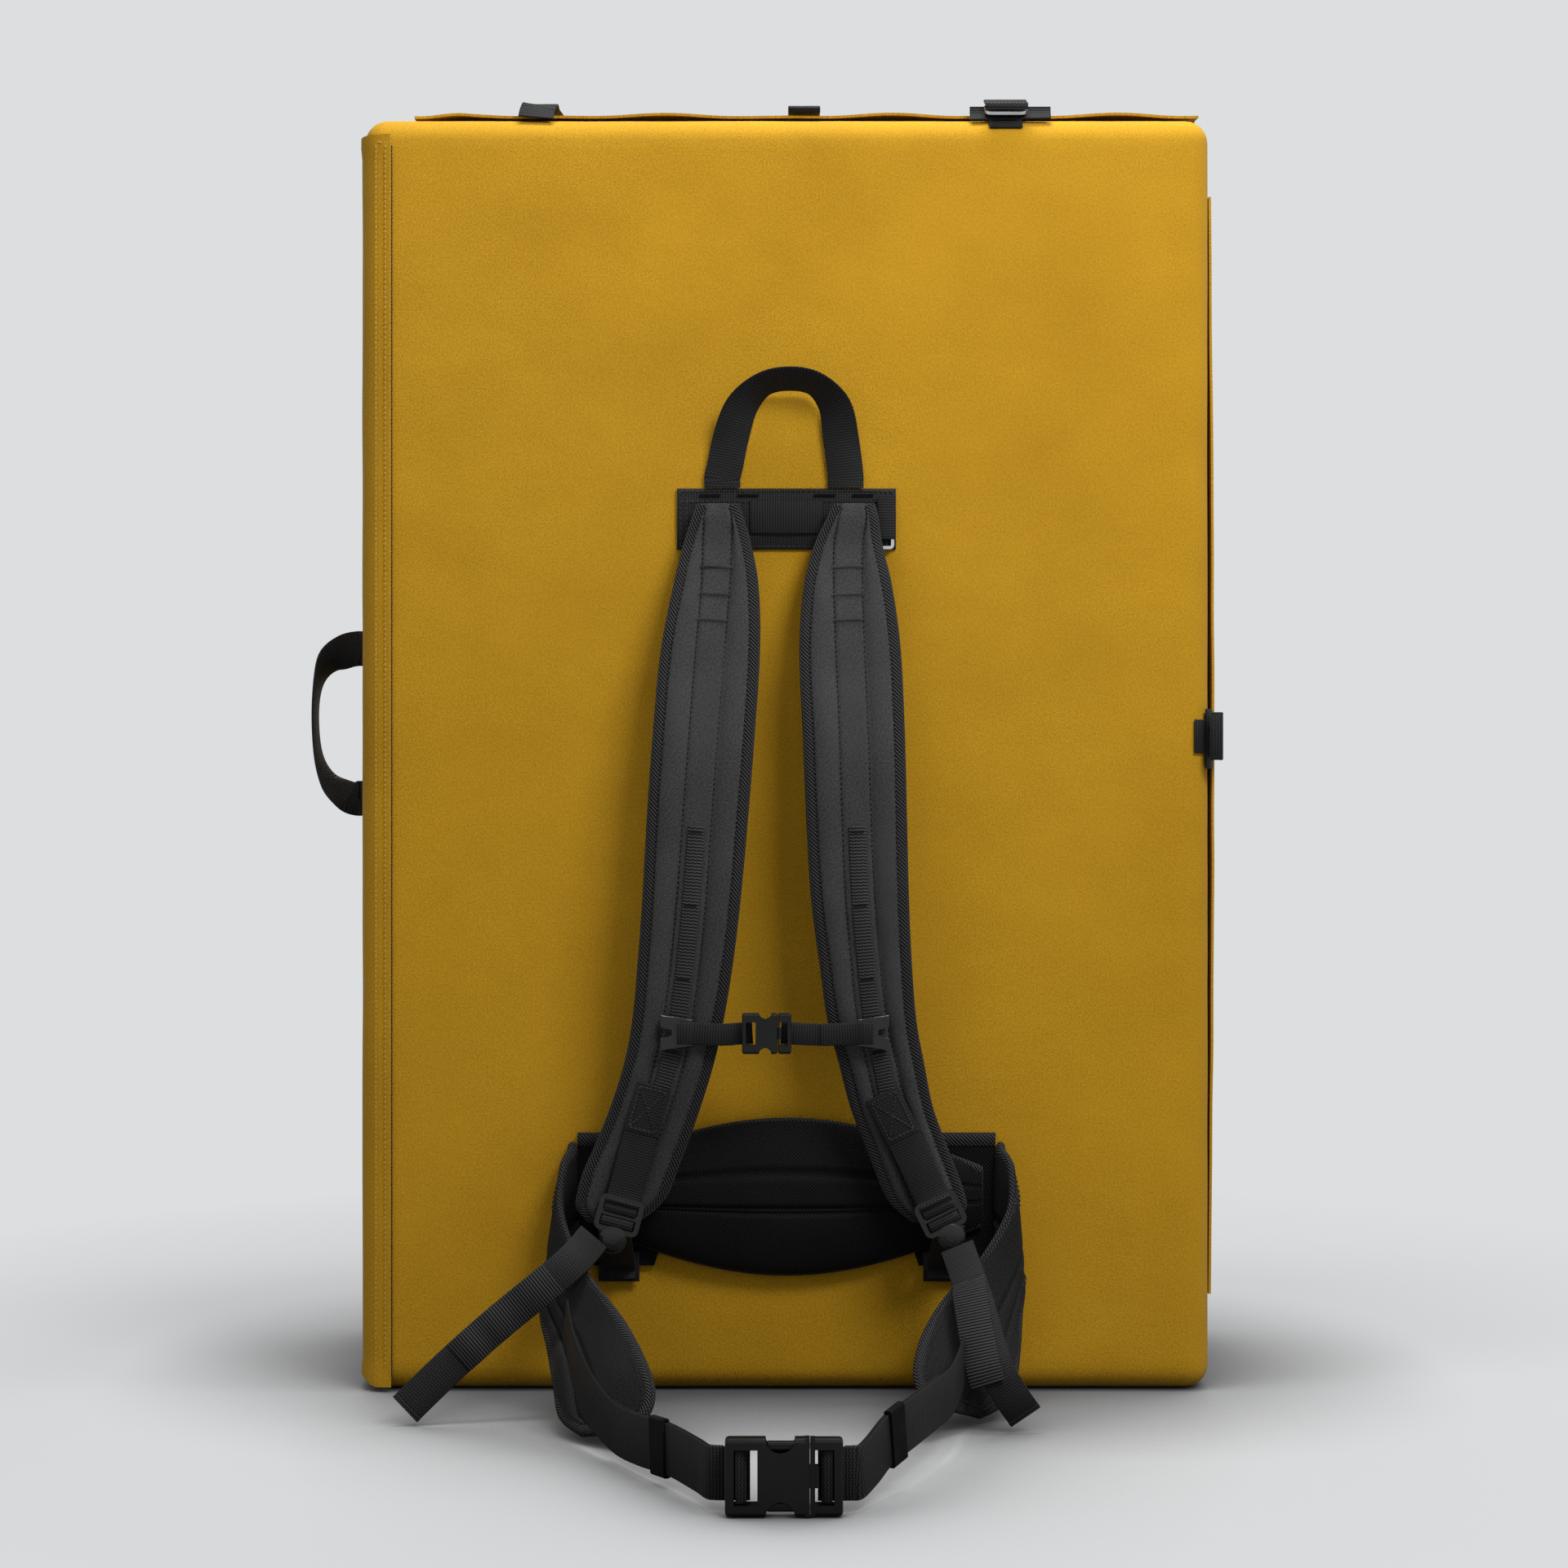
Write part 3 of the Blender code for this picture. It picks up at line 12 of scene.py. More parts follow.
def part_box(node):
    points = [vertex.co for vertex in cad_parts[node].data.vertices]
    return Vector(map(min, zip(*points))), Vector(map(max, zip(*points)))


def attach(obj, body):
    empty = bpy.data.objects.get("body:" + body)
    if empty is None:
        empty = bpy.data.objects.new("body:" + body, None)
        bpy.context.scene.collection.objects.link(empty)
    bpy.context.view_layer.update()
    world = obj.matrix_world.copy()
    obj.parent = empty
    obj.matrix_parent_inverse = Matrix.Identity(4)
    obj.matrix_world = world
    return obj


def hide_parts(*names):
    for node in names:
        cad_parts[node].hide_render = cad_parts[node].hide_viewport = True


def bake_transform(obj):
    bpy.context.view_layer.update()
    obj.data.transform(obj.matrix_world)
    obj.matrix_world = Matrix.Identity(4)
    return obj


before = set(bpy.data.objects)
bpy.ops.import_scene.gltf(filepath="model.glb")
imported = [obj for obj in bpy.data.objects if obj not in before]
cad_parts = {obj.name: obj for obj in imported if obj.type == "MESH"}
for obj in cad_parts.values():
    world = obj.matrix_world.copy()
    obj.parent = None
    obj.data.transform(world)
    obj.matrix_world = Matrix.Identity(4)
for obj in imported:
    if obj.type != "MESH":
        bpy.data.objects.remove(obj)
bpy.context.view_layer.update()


def corners(node):
    """The low and the high corner of a CAD node's box."""
    return tuple(Vector(corner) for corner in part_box(node))


HARNESS = "harness_half"
BACK_HALF = "back_half"

# Material slots
TWILL_SLOT = "cover_twill"
PADDING_SLOT = "padding_twill"
WEBBING_SLOT = "black_webbing"
PLASTIC_SLOT = "buckle_plastic"

# Directions
OUT = Vector((0, -1, 0))
ALONG_X = Vector((1, 0, 0))
ALONG_Z = Vector((0, 0, 1))

# Places read from the frame
COVER_LOW, COVER_HIGH = corners("front_cover")
BACK_LOW, BACK_HIGH = corners("back_cover")
LEFT, RIGHT = COVER_LOW.x, COVER_HIGH.x
FRONT, BACK = COVER_LOW.y, BACK_HIGH.y
PAD_HEIGHT = COVER_HIGH.z
FOLD_Y = (COVER_HIGH.y + BACK_LOW.y) / 2
SPINE_LOW, SPINE_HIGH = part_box("spine_front_panel")
SPINE_X = (SPINE_LOW[0] + SPINE_HIGH[0]) / 2

# Camera, floor and light
CAMERA_DISTANCE = 2.2
CAMERA_HEIGHT = 0.508
CAMERA_X = -0.002
PIXEL = 0.000683
PICTURE = 1920
SENSOR = 36
FLOOR_HALF = 4
FLOOR_DROP = 0.0004
FLOOR_FADE_START = 0.65
FLOOR_FADE_END = 1.15
# Colour of the painted shade on the floor next to the object
FLOOR_PAINTED_SHADE = (0.03, 0.03, 0.031)
FLOOR_PALE = (0.215, 0.219, 0.223)
FLOOR_GLOW = (0.415, 0.421, 0.430)
GLOW_STRENGTH = 0.86
SHADE_REACH = 0.23
SHADE_POWER = 2.3
WORLD_STRENGTH = 0.34
BACKDROP = (0.716, 0.731, 0.746)
WHITE = (1.0, 1.0, 1.0)
BLACK = (0.0, 0.0, 0.0)

# Edges
SHARP_ANGLE = math.radians(50)
BEVEL_ANGLE = math.radians(35)

# Covers
EDGE_RADIUS = 0.020
SEAT_GAP = 0.0003
FOAM_INSET = 0.003
COVER_STEP = 0.009
COVER_SOFTNESS = 0.0014
LAP_WIDTH = 0.025
CLOTH = 0.0012
HEM = 0.0009
SPINE_STEPS = 120
SPINE_TOP = 1.051
SPINE_FOOT = 0.004
SPINE_CUT = 0.034

# Flaps and closures
HINGE_Z = 1.0683
FLAP_BACK_Y = BACK - EDGE_RADIUS
FREE_Y = -0.0455
TOP_FLAP_LEFT = -0.3135
TOP_FLAP_RIGHT = 0.3505
TOP_FLAP_RISE = 0.007
TOP_FLAP_WAVE = 0.0011
TOP_FLAP_WAVES = 7
TOP_FLAP_TURN = 0.0042
FLAP_X = 0.3568
SIDE_FLAP_BOTTOM = 0.078
SIDE_FLAP_TOP = 1.003
SIDE_FLAP_BULGE = 0.003
FLAP_RIPPLE = 0.0005
TAB_X = -0.207
TOP_STRAP_X = 0.184
FLAP_LOOP_X = 0.015
SIDE_STRAP_Z = 0.548

# Webbing and thread
WEBBING = 0.0016
WIDE_WEBBING = 0.051
HANDLE_WEBBING = 0.030
STRAP_WEBBING = 0.028
BELT_WEBBING = 0.038
CHEST_WEBBING = 0.018
RAIL_WEBBING = 0.014
THREAD = 0.00045
STITCH = 0.0032
STITCH_PITCH = 0.0042
TACK_PITCH = 0.0011
TACK_THREAD = 0.0004
PATH_STEPS = 6

# Shoulder straps, as in the part: top X, spread, and rows of share down, across, width, standoff
STRAP_TOP = 0.741
STRAP_DROP = 0.592
STRAP_WIDTH = 0.082
STRAP_THICKNESS = 0.014
STRAP_STANDOFF = 0.046
STRAP_SKIN = 0.0056
STRAP_COLUMNS = 64
STRAP_END_STEP = 6
BINDING_WIDTH = 0.010
BINDING = 0.0009
CHANNEL_HALF = 0.0118
EDGE_HALF = 0.0024
STRAPS = {
    "left": (-0.057, -0.085, [
        (0, 0, 0.41, 0.1), (0.02, 0, 0.51, 0.115), (0.06, 0.006, 0.68, 0.15),
        (0.12, 0.018, 0.85, 0.33), (0.21, 0.068, 0.98, 0.57), (0.33, 0.13, 1, 0.8),
        (0.44, 0.185, 0.99, 0.93), (0.55, 0.24, 0.96, 1), (0.64, 0.3, 0.93, 1),
        (0.72, 0.373, 0.89, 0.96), (0.78, 0.46, 0.875, 0.91), (0.84, 0.59, 0.88, 0.85),
        (0.89, 0.72, 0.9, 0.8), (0.93, 0.835, 0.92, 0.77), (0.96, 0.906, 0.9, 0.75),
        (0.98, 0.965, 0.8, 0.74), (1, 1, 0.5, 0.74),
    ]),
    "right": (0.056, 0.066, [
        (0, 0, 0.41, 0.1), (0.02, -0.015, 0.51, 0.115), (0.06, -0.07, 0.68, 0.15),
        (0.12, -0.076, 0.88, 0.33), (0.21, -0.053, 1, 0.57), (0.33, -0.01, 1, 0.8),
        (0.44, 0.02, 0.985, 0.93), (0.55, 0.06, 0.955, 1), (0.64, 0.13, 0.9, 1),
        (0.72, 0.21, 0.865, 0.96), (0.78, 0.33, 0.83, 0.91), (0.84, 0.455, 0.805, 0.85),
        (0.89, 0.62, 0.8, 0.8), (0.93, 0.76, 0.8, 0.77), (0.96, 0.86, 0.79, 0.75),
        (0.98, 0.94, 0.71, 0.74), (1, 1, 0.45, 0.74),
    ]),
}
TACK_HEIGHTS = (0.686, 0.6635, 0.642)
RAIL_START, RAIL_END = 0.452, 0.872
RAIL_TACKS = (0.460, 0.5605, 0.661, 0.7615, 0.862)

# Ladder-locks, as in the part: X and turn
LOCK_LENGTH = 0.030
LOCK_BAR = 0.0040
LOCK_HEIGHT = 0.169
LOCK_DEPTH = 0.054
LOCKS = {"left": (-0.133, math.radians(-15)), "right": (0.120, math.radians(26))}
PATCH_LENGTH = 0.040
LOCK_STRAP = 0.096

# Tails, as in the part: spread, and rows of shares of X, depth and rise, and the direction across
TAIL_FOOT = 0.013
TAIL_RISE = 0.126
TAIL_DEPTH = 0.138
TAILS = {
    "left": (-0.302, [
        (0.52, 0.412, 1, 0.8, -0.6), (0.58, 0.64, 0.865, 0.72, -0.7),
        (0.765, 0.725, 0.51, 0.66, -0.75), (0.89, 0.797, 0.25, 0.66, -0.75),
        (1, 0.855, 0, 0.7, -0.71),
    ]),
    "right": (0.187, [
        (0.743, 0.415, 0.937, 0.9, 0.42), (0.785, 0.62, 0.76, 0.92, 0.35),
        (0.81, 0.8, 0.64, 0.92, 0.38), (0.87, 1.01, 0.32, 0.9, 0.4),
        (0.94, 1.04, 0.13, 0.9, 0.42), (1, 1.01, 0, 0.9, 0.42),
    ]),
}

# Wings of the belt, as in the part: rows of outer and inner edge, each as X, reach and height
WING_HEIGHT = 0.208
WING_SPREAD = 0.200
WING_REACH = 0.205
WING_THICKNESS = 0.012
WING_EDGE = 0.0024
WING_COLUMNS = 32
WING_END_STEP = 3
WING_CHANNELS = (0.22, 0.42)
WING_SEAMS = (7, 13)
WINGS = {
    "left": [
        (-0.895, 0, 0.5, -0.895, 0, 1), (-0.895, 0.025, 0.5, -0.895, 0.025, 1),
        (-0.9, 0.05, 0.49, -0.9, 0.05, 0.98), (-0.94, 0.095, 0.465, -0.925, 0.11, 0.92),
        (-0.985, 0.145, 0.43, -0.925, 0.19, 0.75), (-1, 0.245, 0.35, -0.82, 0.35, 0.56),
        (-0.96, 0.4, 0.26, -0.64, 0.6, 0.4), (-0.915, 0.6, 0.15, -0.53, 0.85, 0.27),
        (-0.88, 0.735, 0.065, -0.51, 0.95, 0.175), (-0.79, 0.85, 0.03, -0.57, 1, 0.08),
    ],
    "right": [
        (0.895, 0, 0.5, 0.895, 0, 1), (0.895, 0.025, 0.5, 0.895, 0.025, 1),
        (0.9, 0.05, 0.49, 0.9, 0.05, 0.98), (0.935, 0.095, 0.47, 0.93, 0.11, 0.92),
        (0.97, 0.14, 0.44, 0.915, 0.18, 0.76), (0.96, 0.22, 0.35, 0.79, 0.28, 0.58),
        (0.945, 0.305, 0.24, 0.64, 0.42, 0.46), (0.92, 0.4, 0.14, 0.54, 0.59, 0.35),
        (0.86, 0.49, 0.06, 0.5, 0.74, 0.24), (0.76, 0.56, 0.03, 0.53, 0.83, 0.14),
    ],
}

# Belt webbing and buckle, as in the part: sign, and rows of shares of X, reach and rise
BELT_REACH = 0.374
BELT_SPREAD = 0.180
BELT_RISE = 0.080
BELT_LEAD_SHARES = [(0.165, 0.35), (0.10, 0.06)]
BUCKLE_LENGTH = 0.082
BUCKLE_THICKNESS = 0.013
BUCKLE_BAR_SHARE = 0.075
BUCKLE_WEBBING_SHARE = 0.212
PLUG_THICKNESS_SHARE = 0.85
BUCKLE_CENTRE = -0.002
BUCKLE_Z = 0.0276
BELTS = {
    "left": (-1, [
        (-0.972, 0.305, 1.05), (-0.915, 0.425, 0.755), (-0.822, 0.53, 0.475),
        (-0.717, 0.62, 0.33), (-0.611, 0.711, 0.325), (-0.478, 0.816, 0.36),
        (-0.36, 0.92, 0.35),
    ]),
    "right": (1, [
        (0.778, 0.35, 0.7), (0.733, 0.46, 0.625), (0.689, 0.555, 0.59), (0.628, 0.642, 0.59),
        (0.517, 0.775, 0.57), (0.41, 0.869, 0.51), (0.34, 0.93, 0.4),
    ]),
}

# Lumbar pad
LUMBAR_PAD_WIDTH = 0.326
LUMBAR_PAD_MIDDLE = 0.164
LUMBAR_PAD_HEIGHT = 0.130
LUMBAR_PAD_END = 0.050
LUMBAR_THICKNESS = 0.021
LUMBAR_EDGE = 0.0030
CHANNELS = (0.415, 0.445, 0.655, 0.685)
PANEL_SIDE = 0.0045
PANEL_FOOT = 0.105
PANEL_HALF = 0.0018
LUMBAR_ROWS = 72
LUMBAR_COLUMNS = 56
CHANNEL_DEPTH = 0.0030

# Grab loop, as in the part: shares of X, depth and rise, and the direction across
GRAB_X = -0.002
GRAB_FOOT = 0.7553
GRAB_SPAN = 0.103
GRAB_RISE = 0.089
GRAB_STANDOFF = 0.015
GRAB_LIFT = 0.0025
GRAB_SHARES = [
    (-0.5, 0, 0, 1, 0, 0), (-0.5, 0, 0.05, 1, 0, 0), (-0.5, 0, 0.1, 1, 0, 0),
    (-0.475, 0.03, 0.22, 1, 0, 0), (-0.43, 0.12, 0.47, 1, 0.1, -0.1),
    (-0.34, 0.5, 0.76, 0.7, 0.5, -0.4), (-0.17, 0.88, 0.95, 0.2, 0.8, -0.5),
    (0.05, 1, 1, 0, 0.84, -0.54), (0.26, 0.88, 0.95, -0.2, 0.8, -0.5),
    (0.41, 0.5, 0.76, -0.7, 0.5, -0.4), (0.46, 0.12, 0.47, -1, 0.1, -0.1),
    (0.49, 0.03, 0.22, -1, 0, 0), (0.5, 0, 0.1, -1, 0, 0), (0.5, 0, 0.05, -1, 0, 0),
    (0.5, 0, 0, -1, 0, 0),
]

# Side handle, as in the part: shares of reach and span, and Y and Z of the direction across
HANDLE_TOP = 0.646
HANDLE_SPAN = 0.166
HANDLE_REACH = 0.045
HANDLE_SHARES = [
    (0, 0.13, 0, -1), (0.1, 0.13, 0, -1), (0.2, 0.13, 0, -1), (0.42, 0.145, 0.25, -0.97),
    (0.74, 0.2, 0.65, -0.76), (0.94, 0.31, 0.92, -0.38), (1, 0.48, 1, 0),
    (0.94, 0.68, 0.95, 0.3), (0.74, 0.81, 0.8, 0.6), (0.42, 0.885, 0.5, 0.87),
    (0.2, 0.905, 0, 1), (0.1, 0.905, 0, 1), (0, 0.905, 0, 1),
]


def front(depth):
    """The Y of a point this far in front of the pad's front face."""
    return FRONT - depth


def spaced(low, high, count):
    """Even places from low to high, both included."""
    return [low + (high - low) * k / count for k in range(count + 1)]


def curve(points, steps=PATH_STEPS):
    """Points on a Catmull-Rom curve through tuples of any length."""
    result = []
    last = len(points) - 1
    for index in range(last):
        near = [points[max(0, min(last, index + k))] for k in (-1, 0, 1, 2)]
        for step in range(steps):
            t = step / steps
            result.append(tuple(
                0.5 * (2 * b + (c - a) * t + (2 * a - 5 * b + 4 * c - d) * t * t
                       + (3 * b - a - 3 * c + d) * t * t * t)
                for a, b, c, d in zip(*near)
            ))
    result.append(tuple(points[last]))
    return result


def grid_normals(grid):
    """A unit normal at each point of a grid."""
    rows, columns = len(grid) - 1, len(grid[0]) - 1
    return [
        [(grid[min(i + 1, rows)][j] - grid[max(i - 1, 0)][j]).cross(
            grid[i][min(j + 1, columns)] - grid[i][max(j - 1, 0)]).normalized()
         for j in range(columns + 1)]
        for i in range(rows + 1)
    ]


def tangents(points):
    last = len(points) - 1
    return [(points[min(k + 1, last)] - points[max(k - 1, 0)]).normalized()
            for k in range(last + 1)]


def with_tangents(rows):
    """Each row, whose first value is a point, with the line's direction there."""
    return zip(rows, tangents([row[0] for row in rows]))


def lengths(points):
    """How far along a line each of its points lies."""
    result = [0.0]
    for a, b in zip(points, points[1:]):
        result.append(result[-1] + (b - a).length)
    return result


def toward(vector, direction):
    """The vector or its opposite, whichever points along this direction."""
    return -vector if vector.dot(direction) < 0 else vector


def make_piece(name, verts, faces, material, body, flat=None, smooth=True):
    """A mesh object with its material, its flat cloth coordinates and its body."""
    mesh = bpy.data.meshes.new(name)
    mesh.from_pydata([tuple(v) for v in verts], [], faces)
    if flat:
        layer = mesh.attributes.new("flat", "FLOAT_VECTOR", "POINT")
        layer.data.foreach_set("vector", [value for row in flat for value in row])
    mesh.materials.append(material)
    piece = bpy.data.objects.new(name, mesh)
    bpy.context.scene.collection.objects.link(piece)
    if smooth:
        mesh.shade_smooth()
        mesh.set_sharp_from_angle(angle=SHARP_ANGLE)
    if body:
        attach(piece, body)
    return piece


def dress(piece, slot, *nodes):
    """Hides the CAD nodes that a piece stands for; the slot is not used."""
    if nodes:
        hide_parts(*nodes)
    return piece


def loft(name, rings, material, body, flat=None):
    """A closed body through rings of the same number of points."""
    count = len(rings[0])
    last = len(rings) - 1
    faces = [(i * count + j, i * count + (j + 1) % count, (i + 1) * count + (j + 1) % count,
              (i + 1) * count + j) for i in range(last) for j in range(count)]
    faces.append(tuple(range(count))[::-1])
    faces.append(tuple(last * count + j for j in range(count)))
    return make_piece(name, [v for ring in rings for v in ring], faces, material, body, flat)


def ribbon(name, path, width, material, body, thickness=WEBBING):
    """Woven webbing with rounded selvedges along a path of (point, direction across)."""
    points = [point for point, _ in path]
    rings = []
    flat = []
    half, edge = width / 2, thickness / 2
    upper = [(-half + edge * 0.4, edge * 0.7), (-half + edge, edge), (0, edge),
             (half - edge, edge), (half - edge * 0.4, edge * 0.7)]
    profile = [(-half, 0)] + upper + [(half, 0)] + [(x, -z) for x, z in upper[::-1]]
    for (point, direction), tangent, s in zip(path, tangents(points), lengths(points)):
        across = (direction - tangent * direction.dot(tangent)).normalized()
        normal = tangent.cross(across)
        rings.append([point + across * x + normal * z for x, z in profile])
        flat.extend((s, x, 0.0) for x, _ in profile)
    return loft(name, rings, material, body, flat)


def webbing_path(rows, steps=PATH_STEPS):
    return [(Vector(row[:3]), Vector(row[3:]))
            for row in curve([(*place, *across) for place, across in rows], steps)]


def strip(name, node, rows, width, body, across=None, thickness=WEBBING):
    """Black webbing along rows of (point, across), or of points where across is given."""
    if across:
        rows = [(point, across) for point in rows]
    piece = ribbon(name, webbing_path(rows), width, BLACK_WEBBING, body, thickness)
    return dress(piece, WEBBING_SLOT, *([node] if node else []))


def cloth_sheet(name, grid, material, body, upper, lower):
    """A closed sheet round a grid. The thicknesses are values or functions of the two shares."""
    rows, columns = len(grid), len(grid[0])
    normals = grid_normals(grid)
    down = lengths([line[columns // 2] for line in grid])
    verts = []
    flat = []
    for sign, thickness in ((1.0, upper), (-1.0, lower)):
        for i in range(rows):
            side = lengths(grid[i])
            for j in range(columns):
                amount = thickness
                if callable(thickness):
                    amount = thickness(i / (rows - 1), j / (columns - 1))
                verts.append(grid[i][j] + normals[i][j] * (sign * amount))
                flat.append((down[i], side[j] - side[-1] / 2, 0.0))
    back = rows * columns
    faces = []
    for i in range(rows - 1):
        for j in range(columns - 1):
            a = i * columns + j
            b = a + columns
            faces += [(a, b, b + 1, a + 1), (back + a, back + a + 1, back + b + 1, back + b)]
    last = (rows - 1) * columns
    for a in range(0, last, columns):
        b = a + columns - 1
        faces += [(a, back + a, back + a + columns, a + columns),
                  (b, b + columns, back + b + columns, back + b)]
    for a in range(columns - 1):
        b = last + a
        faces += [(a, a + 1, back + a + 1, back + a), (b, back + b, back + b + 1, b + 1)]
    return make_piece(name, verts, faces, material, body, flat)


def even_points(points, pitch):
    """(point, tangent) at even distances along a line."""
    along = lengths(points)
    count = max(2, int(along[-1] / pitch))
    result = []
    k = 0
    for step in range(count):
        s = (step + 0.5) * along[-1] / count
        while along[k + 1] < s:
            k += 1
        share = (s - along[k]) / (along[k + 1] - along[k])
        result.append((points[k].lerp(points[k + 1], share),
                       (points[k + 1] - points[k]).normalized()))
    return result


def stitch_rows(name, lines, material, body, slot, pitch=STITCH_PITCH, length=STITCH,
                radius=THREAD):
    """Rows of single stitches: each line is a list of (point on the cloth, outward normal)."""
    verts = []
    faces = []
    for line in lines:
        points = [point for point, _ in line]
        for point, tangent in even_points(points, pitch):
            near = min(range(len(points)), key=lambda k: (points[k] - point).length_squared)
            normal = line[near][1]
            side = tangent.cross(normal).normalized()
            base = len(verts)
            for share, size in ((-1.0, 0.25), (-0.55, 1.0), (0.55, 1.0), (1.0, 0.25)):
                centre = (point + tangent * (length / 2 * share)
                          + normal * (radius * (size - 0.55)))
                for a, b in ((1, 0), (0, 1), (-1, 0), (0, -1)):
                    verts.append(centre + (side * a + normal * b) * (radius * size))
            for a in (base, base + 4, base + 8):
                for k in range(4):
                    n = (k + 1) % 4
                    faces.append((a + k, a + n, a + 4 + n, a + 4 + k))
            faces.append((base, base + 3, base + 2, base + 1))
            faces.append((base + 12, base + 13, base + 14, base + 15))
    return dress(make_piece(name, verts, faces, material, body), slot)


def bar_tack(name, centre, along, normal, length, width, material, body, slot):
    """A dense zigzag of thread across webbing, as one raised row of short stitches."""
    turns = max(6, int(length / TACK_PITCH))
    side = normal.cross(along).normalized() * (width / 2)
    slant = along * (length / turns * 0.4)
    lines = []
    for k in range(turns):
        place = centre + along * (length * ((k + 0.5) / turns - 0.5))
        lines.append([(place - side - slant, normal), (place + side + slant, normal)])
    stitch_rows(name, lines, material, body, slot, width, width, TACK_THREAD)


def edge_tape(name, line, body, core, width=BINDING_WIDTH):
    """Binding folded over an edge: line is a list of (edge point, inward, normal)."""
    half, cloth = core / 2, BINDING
    outer = [
        (width, half + cloth * 0.6), (width * 0.9, half + cloth * 1.1),
        (width * 0.5, half + cloth * 1.3), (width * 0.15, half + cloth),
        (-cloth * 0.7, half * 0.6), (-cloth, 0),
    ]
    outer += [(x, -z) for x, z in outer[-2::-1]]
    inner = [(width, -half + cloth * 0.2), (width * 0.3, -half * 0.8), (0.0003, 0),
             (width * 0.3, half * 0.8), (width, half - cloth * 0.2)]
    profile = outer + inner
    around = lengths([Vector((x, z)) for x, z in profile])
    rings = []
    flat = []
    for (point, inward, normal), s in zip(line, lengths([row[0] for row in line])):
        rings.append([point + inward * x + normal * z for x, z in profile])
        flat.extend((s, t, 0.0) for t in around)
    return dress(loft(name, rings, BINDING_TWILL, body, flat), PADDING_SLOT)


def beside(line, inset, lift, sign=1):
    """A stitch line beside a bound edge: this far in from it and this high over the middle."""
    return [(point + inward * inset + facing * (lift * sign), facing * sign)
            for point, inward, facing in line]


# Materials

def add_node(tree, kind, links=(), **values):
    """A shader node. values set its sockets by name, and links feed sockets from other nodes."""
    node = tree.nodes.new(kind)
    for key, value in values.items():
        if key in node.bl_rna.properties:
            setattr(node, key, value)
        else:
            node.inputs[key.replace("_", " ")].default_value = value
    for socket, source in links:
        tree.links.new(source, node.inputs[socket])
    return node


def maths(tree, operation, *values):
    node = tree.nodes.new("ShaderNodeMath")
    node.operation = operation
    for index, value in enumerate(values):
        if isinstance(value, (int, float)):
            node.inputs[index].default_value = value
        else:
            tree.links.new(value, node.inputs[index])
    return node.outputs[0]


def weighted(tree, *terms):
    """The sum of (value, weight) terms. A weight of 1 stays bare."""
    total = None
    for value, weight in terms:
        part = value if weight == 1 else maths(tree, "MULTIPLY", value, weight)
        total = maths(tree, "ADD", total, part) if total else part
    return total


def new_material(name, roughness, metallic=0.0, sheen=0.0, specular=0.5):
    material = bpy.data.materials.new(name)
    material.use_nodes = True
    shader = material.node_tree.nodes["Principled BSDF"]
    for socket, value in (("Roughness", roughness), ("Metallic", metallic),
                          ("Specular IOR Level", specular), ("Sheen Weight", sheen),
                          ("Sheen Roughness", 0.5)):
        shader.inputs[socket].default_value = value
    return material, material.node_tree, shader


def flat_coordinates(tree):
    """The piece's own cloth coordinates: along the cloth and across it, in metres."""
    source = add_node(tree, "ShaderNodeAttribute", attribute_name="flat").outputs["Vector"]
    split = add_node(tree, "ShaderNodeSeparateXYZ", links=[("Vector", source)])
    return source, split.outputs["X"], split.outputs["Y"]


def wave(tree, value, pitch):
    """A sine of a length in metres, from 0 to 1 once per pitch."""
    turned = maths(tree, "MULTIPLY", value, 2 * math.pi / pitch)
    return maths(tree, "MULTIPLY_ADD", maths(tree, "SINE", turned), 0.5, 0.5)


def grain(tree, vector, scale, detail=3.0):
    return add_node(tree, "ShaderNodeTexNoise", links=[("Vector", vector)], Scale=scale,
                    Detail=detail).outputs["Fac"]


def colour_by(tree, factor, dark, light, low=0.3, high=0.7):
    ramp = add_node(tree, "ShaderNodeValToRGB", links=[("Fac", factor)])
    for element, place, colour in zip(ramp.color_ramp.elements, (low, high), (dark, light)):
        element.position = place
        element.color = (*colour, 1.0)
    return ramp.outputs["Color"]


def bump(tree, shader, height, distance, strength=1.0, under=None):
    links = [("Height", height)] + ([("Normal", under)] if under else [])
    node = add_node(tree, "ShaderNodeBump", links=links, Strength=strength, Distance=distance)
    tree.links.new(node.outputs["Normal"], shader.inputs["Normal"])
    return node.outputs["Normal"]


def twill_material(name, dark, light, pitch, depth, roughness, sheen, creases=0.0, specular=0.12,
                   cord=0.2):
    """Twill: fine diagonal cords, speckled yarn, slow changes of tone and soft creases.

    cord is how much the diagonal cords show against the yarn."""
    material, tree, shader = new_material(name, roughness, sheen=sheen, specular=specular)
    vector, along, across = flat_coordinates(tree)
    cords = wave(tree, maths(tree, "ADD", along, across), pitch)
    steep = maths(tree, "SUBTRACT", along, maths(tree, "MULTIPLY", across, 0.45))
    picks = maths(tree, "MULTIPLY", wave(tree, steep, pitch * 0.8), 0.4)
    weave = maths(tree, "MULTIPLY", cords, maths(tree, "ADD", picks, 0.6))
    yarn = grain(tree, vector, 620.0)
    slow = grain(tree, vector, 9.0, 4.0)
    tone = weighted(tree, (yarn, 0.80 - cord), (slow, 0.20), (weave, cord))
    tree.links.new(colour_by(tree, tone, dark, light, 0.28, 0.62), shader.inputs["Base Color"])
    under = bump(tree, shader, grain(tree, vector, 16.0), creases) if creases else None
    bump(tree, shader, weighted(tree, (weave, 1), (yarn, 0.5)), depth, 0.7, under)
    return material


